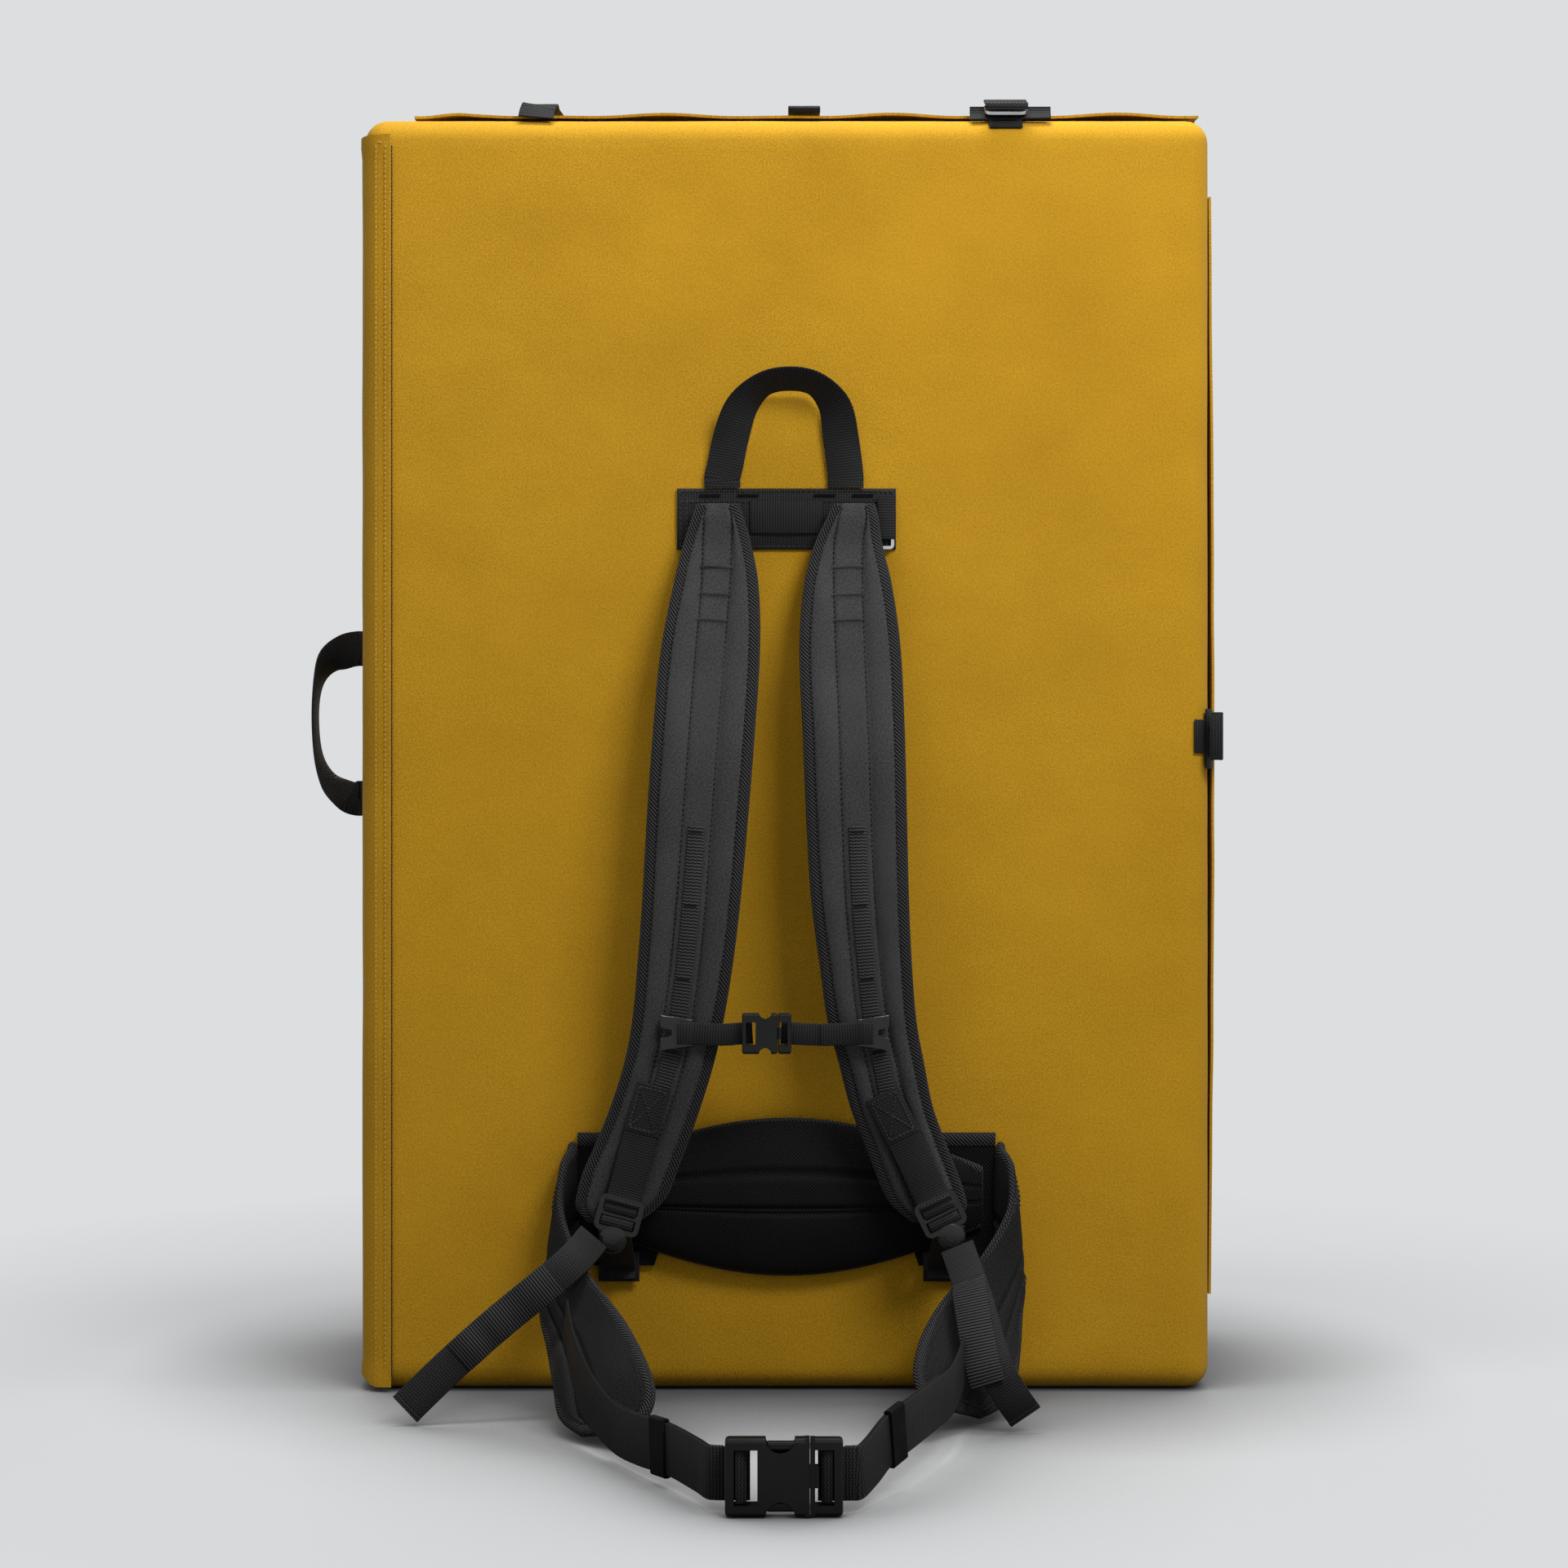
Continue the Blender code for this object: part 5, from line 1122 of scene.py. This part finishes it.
def add_strap(side):
    rows = strap_rows(side)
    body = side + "_strap"
    columns = STRAP_COLUMNS
    grid = [[centre + Vector(((j / columns - 0.5) * 2 * half, 0, 0)) for j in range(columns + 1)]
            for centre, half, _ in rows]
    seed = Vector((3.7 if side == "left" else 9.1, 0, 0))
    last = len(rows) - 1

    def thickness(i, j):
        place = grid[round(i * last)][round(j * columns)]
        pucker = noise.noise(Vector((place.x * 60, 0, place.z * 75)) + seed)
        soft = noise.noise(Vector((place.x * 25, 1.0, place.z * 14)) + seed)
        half = rows[round(i * last)][1]
        value = strap_half(i, abs(j - 0.5) * 2 * half, half)
        return value + (0.0005 * pucker + 0.0007 * soft) * (1.0 if 0.1 < j < 0.9 else 0.0)

    pad = cloth_sheet(side + "_strap_cushion", grid, CHARCOAL, body, thickness, thickness)
    dress(pad, PADDING_SLOT, side + "_strap_pad")

    normals = grid_normals(grid)
    outline = open_outline(grid, normals, STRAP_END_STEP)
    line = []
    for (point, normal, _), tangent in with_tangents(outline):
        facing = toward(normal, OUT)
        inward = facing.cross(tangent).normalized()
        if abs(point.z - grid[-1][0].z) > 0.003:
            middle = min(rows, key=lambda row: abs(row[0].z - point.z))[0]
            inward = toward(inward, middle - point)
        line.append((point, inward, facing))
    edge_tape(side + "_strap_binding", line, body, 0.0052)

    seams = [beside(line, BINDING_WIDTH - 0.0018, 0.0044)]
    for sign in (-1, 1):
        channel = []
        for i in range(2, len(rows) - 8):
            centre, half, _ = rows[i]
            offset = min(CHANNEL_HALF, half * 0.55)
            facing = toward(normals[i][columns // 2], OUT)
            height = strap_half(i / last, offset, half) + 0.0003
            channel.append((centre + Vector((sign * offset, 0, 0)) + facing * height, facing))
        seams.append(channel)
    seams.append([channel[0] for channel in seams[1:]])
    stitch_rows(side + "_strap_stitches", seams, BLACK_THREAD, body, PADDING_SLOT, length=0.0022)

    for index, height in enumerate(TACK_HEIGHTS):
        point, across, normal = strap_surface(rows, (STRAP_TOP - height) / STRAP_DROP, 0.0006)
        bar_tack("%s_strap_tack_%d" % (side, index), point, across, normal, 0.027, 0.0016,
                 GREY_THREAD, body, PADDING_SLOT)
    rail = [strap_surface(rows, share, 0.0011)[:2] for share in spaced(RAIL_START, RAIL_END, 32)]
    dress(ribbon(side + "_strap_ladder", rail, RAIL_WEBBING, RAIL_MATERIAL, body), WEBBING_SLOT,
          side + "_strap_rail")
    for index, share in enumerate(RAIL_TACKS):
        point, across, normal = strap_surface(rows, share, 0.0021)
        bar_tack("%s_rail_tack_%d" % (side, index), point, across, normal, 0.011, 0.0016,
                 BLACK_THREAD, body, WEBBING_SLOT)
    add_lock_strap(side, body)


def add_lock_strap(side, body):
    """The webbing from the strap's patch to the ladder-lock, the lock, and what runs through it."""
    x, turn = LOCKS[side]
    down = Vector((math.sin(turn), 0, -math.cos(turn)))
    across = Vector((math.cos(turn), 0, math.sin(turn)))
    top = Vector((x, front(LOCK_DEPTH), LOCK_HEIGHT))
    start = top - down * LOCK_STRAP
    bar = top + down * (LOCK_BAR / 2)
    rows = [
        start - OUT * 0.0005, start + down * 0.020, start + down * 0.055 + OUT * 0.0002,
        bar - down * 0.006, bar + OUT * 0.0030 - down * 0.0005,
        bar + down * 0.0030 + OUT * 0.0015, bar + down * 0.0032 - OUT * 0.0020,
        bar - OUT * 0.0034, bar - down * 0.010 - OUT * 0.0022,
    ]
    strip(side + "_lock_webbing", side + "_lock_strap", rows, STRAP_WEBBING, body, across)
    rows = [start + down * reach + OUT * (0.0014 - 0.0006 * abs(reach - 0.02) / 0.02)
            for reach in (0.0, 0.012, 0.025, PATCH_LENGTH)]
    strip(side + "_strap_patch", None, rows, STRAP_WEBBING + 0.001, body, across, 0.0018)
    a, b, d, c = [start + down * reach + across * offset + OUT * 0.0026
                  for reach in (0.003, PATCH_LENGTH - 0.003) for offset in (-0.011, 0.011)]
    lines = [[(p, OUT), (q, OUT)] for p, q in ((a, b), (b, c), (c, d), (d, a), (a, c), (b, d))]
    stitch_rows(side + "_patch_stitches", lines, GREY_THREAD, body, WEBBING_SLOT, 0.0032, 0.0026)

    finish_node(side + "_ladder_lock", LOCK_PLASTIC, 0.0010)
    middle = top + down * (LOCK_LENGTH / 2)
    for name, reach in (("_lock_band_upper", -0.0062), ("_lock_band_lower", 0.0052)):
        rows = [middle + down * (reach + 0.0042 * math.sin(angle))
                + OUT * (0.0030 * math.cos(angle) - 0.0006)
                for angle in spaced(-math.pi / 2, math.pi / 2, 8)]
        strip(side + name, None, rows, STRAP_WEBBING - 0.0015, side + "_lock", across, 0.0015)

    low, high = corners(side + "_anchor_tab")
    rows = [(x, (low.y + high.y) / 2, (low.z + high.z) / 2) for x in (low.x, high.x)]
    strip(side + "_anchor_webbing", side + "_anchor_tab", rows, high.z - low.z, HARNESS, ALONG_Z)
    foot = Vector(((low.x + high.x) / 2, low.y - 0.0013, low.z + 0.003))
    head = top + down * (LOCK_LENGTH * 0.95)
    head.y = corners(side + "_adjuster")[0].y + 0.0012
    lifted = foot + ALONG_Z * 0.008
    rows = [(foot, ALONG_X), (lifted, ALONG_X)]
    for share in (0.3, 0.55, 0.8, 1.0):
        place = lifted.lerp(head, share)
        place.y -= 0.0015 * math.sin(share * math.pi)
        rows.append((place, ALONG_X.lerp(across, share)))
    webbing = strip(side + "_adjuster_webbing", side + "_adjuster", rows, STRAP_WEBBING, None)
    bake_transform(webbing)


def add_tail(side):
    """The loose tail below a ladder-lock, with its doubled length and its hem."""
    spread, table = TAILS[side]
    rows = [((spread * x, front(TAIL_DEPTH * depth), TAIL_FOOT + TAIL_RISE * rise), (ax, 0, az))
            for x, depth, rise, ax, az in table]
    body = side + "_tail_body"
    path = webbing_path(rows, 8)
    dress(ribbon(side + "_tail_webbing", path, STRAP_WEBBING, BLACK_WEBBING, body), WEBBING_SLOT,
          side + "_tail")
    if side == "left":
        tail_layer("left_tail_layer", path, (0.30, 0.70), (0.0024, 0.0024), 0.0, 0.0026, body,
                   TAIL_MATERIAL)
    else:
        tail_layer("right_tail_layer", path, (0.26, 0.68), (0.0060, 0.0034), -0.0110, 0.0008,
                   body, TAIL_MATERIAL, roll=True)
    tail_layer(side + "_tail_hem", path, (0.955, 1.0), (0.0016, 0.0016), 0.0, 0.0, body,
               BLACK_WEBBING)


def tail_layer(name, path, span, lifts, shift, ripple, body, material, roll=False):
    """A second layer over part of a tail, with its own lift, sideways shift and ripples."""
    count = len(path) - 1
    part = path[round(span[0] * count):round(span[1] * count) + 1]
    layer = []
    for k, ((point, across), tangent) in enumerate(with_tangents(part)):
        share = k / (len(part) - 1)
        normal = toward(tangent.cross(across).normalized(), OUT)
        lift = (lifts[0] + (lifts[1] - lifts[0]) * share
                + ripple * math.sin(3 * math.pi * share) ** 2)
        if roll and not layer:
            for step in range(5):
                angle = math.pi * (step / 5 - 0.5)
                turn = (normal * (lift / 2 * (1 + math.sin(angle)))
                        - tangent * (lift * 0.7 * math.cos(angle)))
                layer.append((point + turn, across))
        layer.append((point + normal * lift + across * (shift * share), across))
    dress(ribbon(name, layer, STRAP_WEBBING, material, body), WEBBING_SLOT)


# Sternum strap

SLIDER_OUTLINE = [
    (0.013, 0.0095), (0.013, -0.0095), (0.006, -0.0105), (-0.011, -0.0130), (-0.011, -0.0055),
    (-0.002, -0.0030), (-0.002, 0.0030), (-0.011, 0.0055), (-0.011, 0.0130), (0.006, 0.0105),
]


def add_slider(side, sign, body):
    """A moulded slider on the strap's rail, open towards the strap's edge. Gives its middle Y."""
    low, high = corners(side + "_sternum_slider")
    centre = (low + high) / 2
    half_y = (high.y - low.y) / 2
    verts = [centre + Vector((sign * x, y, z)) for y in (-half_y, half_y)
             for x, z in SLIDER_OUTLINE]
    count = len(SLIDER_OUTLINE)
    faces = [(k, (k + 1) % count, count + (k + 1) % count, count + k) for k in range(count)]
    faces += [tuple(range(count)), tuple(range(2 * count - 1, count - 1, -1))]
    slider = make_piece(side + "_chest_slider", verts, faces, LOCK_PLASTIC, body, smooth=False)
    add_bevel(slider, 0.0009)
    dress(slider, PLASTIC_SLOT, side + "_sternum_slider")
    return centre.y


def add_sternum():
    body = "sternum_strap"
    for side, sign, fold_end in (("left", 1, 0.35), ("right", -1, 0.62)):
        slider_y = add_slider(side, sign, body)
        low, high = corners(side + "_sternum_webbing")
        outer_x, inner_x = (low.x, high.x)[::sign]
        y = (low.y + high.y) / 2
        z = (low.z + high.z) / 2
        rows = [
            ((outer_x - sign * 0.010, slider_y - 0.0030, z), ALONG_Z),
            ((outer_x - sign * 0.002, slider_y - 0.0032, z), ALONG_Z),
            ((outer_x + sign * 0.007, y - 0.0004, z - 0.0006), (0.01, 0, 1)),
            (((outer_x + inner_x) / 2, y, z - 0.0016), (0.02, 0, 1)),
            ((inner_x - sign * 0.010, y, z - 0.0006), ALONG_Z), ((inner_x, y, z), ALONG_Z),
        ]
        strip(side + "_chest_webbing", side + "_sternum_webbing", rows, CHEST_WEBBING, body)
        path = webbing_path(rows)
        shifted = [(point + OUT * WEBBING, across)
                   for point, across in path[:max(3, round(fold_end * len(path)))]]
        dress(ribbon(side + "_chest_fold", shifted, CHEST_WEBBING, BLACK_WEBBING, body),
              WEBBING_SLOT)
    for name in ("sternum_buckle_housing", "sternum_buckle_plug"):
        finish_node(name, PLASTIC, 0.0009)


# Lumbar pad and hip belt

def lumbar_edges(x):
    """The lower and upper edge of the lumbar cushion at this X."""
    swell = math.cos(x / LUMBAR_PAD_WIDTH * math.pi)
    half = (LUMBAR_PAD_END + (LUMBAR_PAD_HEIGHT - LUMBAR_PAD_END) * swell) / 2
    return LUMBAR_PAD_MIDDLE - half, LUMBAR_PAD_MIDDLE + half


def lumbar_half(along, across):
    """The cushion's height over its back: full rolls between sewn channels."""
    swell = math.sin(math.pi * min(1.0, max(0.0, across))) ** 0.5
    ends = min(1.0, 0.25 + 5.0 * along, 0.25 + 5.0 * (1 - along))
    height = LUMBAR_EDGE + (LUMBAR_THICKNESS - LUMBAR_EDGE) * swell * ends
    for channel in CHANNELS:
        height -= CHANNEL_DEPTH * ends * math.exp(-((across - channel) / 0.012) ** 2)
    return height


def add_lumbar_panel():
    low, high = corners("lumbar_base")
    low.x -= PANEL_SIDE
    high.x += PANEL_SIDE
    y = (low.y + high.y) / 2
    columns = []
    for x in spaced(low.x, high.x, 60):
        foot = max(low.z, lumbar_edges(x)[0] + 0.006) if abs(x) < PANEL_FOOT else low.z
        columns.append([Vector((x, y, z)) for z in spaced(foot, high.z, 12)])
    grid = [list(row) for row in zip(*columns)]
    panel = cloth_sheet("lumbar_panel", grid, DARK_TWILL, HARNESS, PANEL_HALF, PANEL_HALF)
    dress(panel, PADDING_SLOT, "lumbar_base")
    line = [(Vector((x, y, high.z)), -ALONG_Z, OUT) for x in spaced(low.x, high.x, 20)]
    edge_tape("lumbar_panel_binding", line, HARNESS, 0.0038)
    return low.y - SEAT_GAP


def add_lumbar():
    y = add_lumbar_panel()
    rows, columns = LUMBAR_ROWS, LUMBAR_COLUMNS
    grid = []
    for i in range(rows + 1):
        x = (i / rows - 0.5) * LUMBAR_PAD_WIDTH
        low, high = (Vector((x, y, z)) for z in lumbar_edges(x))
        grid.append([low.lerp(high, j / columns) for j in range(columns + 1)])

    def rise(i, j):
        place = grid[round(i * rows)][round(j * columns)]
        soft = noise.noise(Vector((place.x * 30, 5.0, place.z * 34)))
        return lumbar_half(i, j) + 0.0006 * soft * math.sin(math.pi * j)

    sides = (rise, 0.0) if grid_normals(grid)[3][3].y < 0 else (0.0, rise)
    cushion = cloth_sheet("lumbar_cushion", grid, DARK_TWILL, HARNESS, *sides)
    dress(cushion, PADDING_SLOT, "lumbar_pad")

    outline = [line[-1] for line in grid] + [line[0] for line in grid[::-1]]
    outline.append(outline[0])
    centre = Vector((0, y, LUMBAR_PAD_MIDDLE))
    line = []
    for point, tangent in zip(outline, tangents(outline)):
        inward = toward(OUT.cross(tangent).normalized(), centre - point)
        line.append((point + OUT * 0.0026, inward, OUT))
    edge_tape("lumbar_binding", line, HARNESS, 0.0042, 0.011)
    lines = []
    for channel in CHANNELS:
        low = int(channel * columns)
        share = channel * columns - low
        lines.append([(grid[i][low].lerp(grid[i][low + 1], share)
                       + OUT * (lumbar_half(i / rows, channel) + 0.0002), OUT)
                      for i in range(4, rows - 3)])
    lines.append(beside(line, 0.0088, 0.0040))
    stitch_rows("lumbar_stitches", lines, BLACK_THREAD, HARNESS, PADDING_SLOT)


def add_wing(side):
    rows = curve(WINGS[side])
    edges = [[Vector((WING_SPREAD * row[k], front(SEAT_GAP + WING_REACH * row[k + 1]),
                      WING_HEIGHT * row[k + 2])) for row in rows] for k in (0, 3)]
    columns = WING_COLUMNS
    grid = [[a.lerp(b, j / columns) for j in range(columns + 1)] for a, b in zip(*edges)]
    last = len(grid) - 1

    def thickness(i, j):
        ends = min(1.0, 0.5 + 6 * i, 0.3 + 6 * (1 - i))
        value = WING_EDGE
        if 0 < j < 1:
            value += (WING_THICKNESS / 2 - WING_EDGE) * math.sin(math.pi * j) ** 0.6 * ends
        for channel in WING_CHANNELS:
            value -= 0.0026 * ends * math.exp(-((j - channel) / 0.024) ** 2)
        place = grid[round(i * last)][round(j * columns)]
        return max(0.0018, value + 0.0006 * noise.noise(place * 34.0))

    wing = cloth_sheet(side + "_wing_cushion", grid, WING_TWILL, None, thickness, thickness)
    dress(wing, PADDING_SLOT, side + "_hip_wing")
    normals = grid_normals(grid)
    outline = open_outline(grid, normals, WING_END_STEP)
    line = []
    for (point, _, inner), tangent in with_tangents(outline):
        inward = inner - point
        inward = (inward - tangent * inward.dot(tangent)).normalized()
        line.append((point, inward, tangent.cross(inward).normalized()))
    tape = edge_tape(side + "_wing_binding", line, None, 0.0050)
    lines = []
    for column in WING_SEAMS:
        for sign in (-1, 1):
            seam = []
            for i in range(3, last - 3):
                normal = normals[i][column] * sign
                lift = thickness(i / last, column / columns) + 0.0002
                seam.append((grid[i][column] + normal * lift, normal))
            lines.append(seam)
    lines += [beside(line, 0.0082, 0.0040, sign) for sign in (-1, 1)]
    seams = stitch_rows(side + "_wing_stitches", lines, BLACK_THREAD, None, PADDING_SLOT)
    for piece in (wing, tape, seams):
        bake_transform(piece)


def half_buckle(sign):
    return BUCKLE_THICKNESS / 2 * (PLUG_THICKNESS_SHARE if sign > 0 else 1)


def belt_rows(table, sign):
    rows = [(BELT_SPREAD * x, front(BELT_REACH * reach), BELT_RISE * rise)
            for x, reach, rise in table]
    y = front(BELT_REACH - half_buckle(sign) - SEAT_GAP - WEBBING / 2)
    end = BUCKLE_CENTRE + sign * BUCKLE_LENGTH / 2
    for out, behind in BELT_LEAD_SHARES:
        rows.append((end + sign * BUCKLE_LENGTH * out, y + BUCKLE_THICKNESS * behind, BUCKLE_Z))
    last = BUCKLE_LENGTH * BUCKLE_WEBBING_SHARE
    return rows + [(end - sign * inset, y, BUCKLE_Z) for inset in (0, last / 2, last)]


def add_belt():
    for side in WINGS:
        add_wing(side)
    for side, (sign, table) in BELTS.items():
        path = webbing_path([(row, ALONG_Z) for row in belt_rows(table, sign)])
        main = ribbon(side + "_belt_strap", path, BELT_WEBBING, BELT_MATERIAL, "hip_belt")
        dress(main, WEBBING_SLOT, side + "_belt_webbing")
        part = path[round(len(path) * 0.25):round(len(path) * 0.80)]
        shifted = []
        for (point, across), tangent in with_tangents(part):
            normal = toward(tangent.cross(across).normalized(), -OUT)
            shifted.append((point + normal * (WEBBING * 1.02 + 0.0008), across))
        dress(ribbon(side + "_belt_return", shifted, BELT_WEBBING, BELT_MATERIAL, "hip_belt"),
              WEBBING_SLOT)
        finish_node(side + "_belt_keeper", KEEPER_ELASTIC, 0.0005, 2)
        add_buckle_loop(side, sign)
    for name, width, segments in (("buckle_housing", 0.0016, 4), ("buckle_plug", 0.0014, 4),
                                  ("upper_latch", 0.0010, 3), ("lower_latch", 0.0010, 3)):
        finish_node("belt_" + name, PLASTIC, width, segments)
    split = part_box("belt_buckle_housing")[1][0]
    add_shoulder("housing", "hip_belt", -1, split)
    add_shoulder("plug", "belt_plug", 1, split + SEAT_GAP)


def add_shoulder(end, body, sign, split):
    """A square shoulder where the belt buckle's two ends meet, so no light shows between them."""
    low, high = corners("belt_buckle_" + end)
    centre = (low + high) / 2
    verts = []
    for x in (split, split + sign * 0.0034):
        for inset in (0.0003, 0.0021):
            half_y = (high.y - low.y) / 2 - inset
            half_z = (high.z - low.z) / 2 - inset
            for y, z in ((-1, -1), (1, -1), (1, 1), (-1, 1)):
                verts.append((x, centre.y + half_y * y, centre.z + half_z * z))
    faces = []
    for k in range(4):
        n = (k + 1) % 4
        faces += [(k, n, 8 + n, 8 + k), (4 + k, 12 + k, 12 + n, 4 + n),
                  (k, 4 + k, 4 + n, n), (8 + k, 8 + n, 12 + n, 12 + k)]
    name = "belt_%s_shoulder" % end
    dress(make_piece(name, verts, faces, PLASTIC, body, smooth=False), PLASTIC_SLOT)


def add_buckle_loop(side, sign):
    """The webbing that shows in the buckle's window, turned round its end bar."""
    end = BUCKLE_CENTRE + sign * BUCKLE_LENGTH / 2
    middle = end - sign * (BUCKLE_LENGTH * BUCKLE_BAR_SHARE + 0.0056)
    rows = [((middle + sign * (0.0044 - 0.0044 * math.sin(angle) * 1.6),
              front(BELT_REACH) - math.cos(angle) * (half_buckle(sign) - 0.0026), BUCKLE_Z),
             ALONG_Z) for angle in spaced(0, math.pi, 12)]
    loop = ribbon(side + "_buckle_loop", webbing_path(rows, 2), BELT_WEBBING - 0.001,
                  BLACK_WEBBING, "hip_belt" if sign < 0 else "belt_plug", 0.0015)
    dress(loop, WEBBING_SLOT)


# Camera, floor and light

def add_camera():
    camera = bpy.data.cameras.new("camera")
    camera.sensor_width = SENSOR
    camera.lens = SENSOR * CAMERA_DISTANCE / (PICTURE * PIXEL)
    place = bpy.data.objects.new("camera", camera)
    bpy.context.scene.collection.objects.link(place)
    place.location = (CAMERA_X, FRONT - CAMERA_DISTANCE, CAMERA_HEIGHT)
    place.rotation_euler = (math.pi / 2, 0, 0)
    bpy.context.scene.camera = place


def colour_mix(tree, factor, first, second):
    mix = add_node(tree, "ShaderNodeMix", links=[("Factor", factor)], data_type="RGBA")
    mix.inputs[6].default_value = (*first, 1.0)
    mix.inputs[7].default_value = (*second, 1.0)
    return mix.outputs[2]


def shader_mix(tree, factor, first, second, surface):
    mix = add_node(tree, "ShaderNodeMixShader", links=[("Fac", factor)])
    tree.links.new(first.outputs[0], mix.inputs[1])
    tree.links.new(second.outputs[0], mix.inputs[2])
    tree.links.new(mix.outputs[0], surface)


def add_floor():
    """A pale floor with painted shade near the object, from ambient occlusion, that fades into the
    background away from it.

    Its glow, dimmed by the same painted shade, shows to the camera alone, so the object gets no
    light from it."""
    material, tree, shader = new_material("floor", 0.9)
    # Painted shade: ambient occlusion darkens the floor's colour and glow near the object
    near = add_node(tree, "ShaderNodeAmbientOcclusion", Distance=SHADE_REACH, samples=24)
    shade = maths(tree, "POWER", near.outputs["AO"], SHADE_POWER)
    tree.links.new(colour_mix(tree, shade, FLOOR_PAINTED_SHADE, FLOOR_PALE), shader.inputs["Base Color"])
    seen = add_node(tree, "ShaderNodeLightPath").outputs["Is Camera Ray"]
    glow = colour_mix(tree, maths(tree, "MULTIPLY", shade, seen), BLACK, FLOOR_GLOW)
    tree.links.new(glow, shader.inputs["Emission Color"])
    shader.inputs["Emission Strength"].default_value = GLOW_STRENGTH
    place = add_node(tree, "ShaderNodeTexCoord").outputs["Object"]
    level = add_node(tree, "ShaderNodeVectorMath", links=[("Vector", place)],
                     operation="MULTIPLY")
    level.inputs[1].default_value = (1.0, 1.0, 0.0)
    distance = add_node(tree, "ShaderNodeVectorMath", links=[("Vector", level.outputs[0])],
                        operation="LENGTH")
    fade = add_node(tree, "ShaderNodeMapRange", links=[("Value", distance.outputs["Value"])],
                    From_Min=FLOOR_FADE_START, From_Max=FLOOR_FADE_END)
    shader_mix(tree, fade.outputs["Result"], shader,
               add_node(tree, "ShaderNodeBsdfTransparent"),
               tree.nodes["Material Output"].inputs["Surface"])
    verts = [(FLOOR_HALF * x, FLOOR_HALF * y, -FLOOR_DROP)
             for x, y in ((-1, -1), (1, -1), (1, 1), (-1, 1))]
    make_piece("floor", verts, [(0, 1, 2, 3)], material, None, smooth=False)


def add_lamp(name, place, target, size, power):
    lamp = bpy.data.lights.new(name, "AREA")
    lamp.shape = "RECTANGLE"
    lamp.size, lamp.size_y = size
    lamp.energy = power
    holder = bpy.data.objects.new(name, lamp)
    bpy.context.scene.collection.objects.link(holder)
    holder.location = place
    direction = Vector(target) - Vector(place)
    holder.rotation_euler = direction.to_track_quat("-Z", "Y").to_euler()


def add_light():
    """A soft world, whose backdrop grey shows only to the camera and in clear reflections."""
    world = bpy.data.worlds.new("studio")
    bpy.context.scene.world = world
    world.use_nodes = True
    tree = world.node_tree
    tree.nodes.clear()
    output = tree.nodes.new("ShaderNodeOutputWorld")
    rays = tree.nodes.new("ShaderNodeLightPath").outputs
    seen = maths(tree, "MAXIMUM", rays["Is Camera Ray"],
                 maths(tree, "MAXIMUM", rays["Is Glossy Ray"], rays["Is Transmission Ray"]))
    soft = add_node(tree, "ShaderNodeBackground", Color=(*WHITE, 1.0),
                    Strength=WORLD_STRENGTH)
    backdrop = add_node(tree, "ShaderNodeBackground", Color=(*BACKDROP, 1.0), Strength=1.0)
    shader_mix(tree, seen, soft, backdrop, output.inputs["Surface"])
    add_lamp("key", (1.05, -1.4, 2.15), (0.14, -0.06, 0.76), (1.0, 0.6), 38)
    add_lamp("top", (0.05, -0.25, 2.5), (0.0, -0.1, 1.05), (1.2, 0.30), 40)
    add_lamp("back", (-0.5, 1.9, 1.9), (0.0, 0.19, 0.6), (1.2, 0.8), 14)
    bpy.context.scene.view_settings.view_transform = "Standard"


add_camera()
add_covers()
add_spine()
add_flaps()
add_closures()
add_yoke()
add_handle()
for strap_side in STRAPS:
    add_strap(strap_side)
    add_tail(strap_side)
add_sternum()
add_lumbar()
add_belt()
add_floor()
add_light()
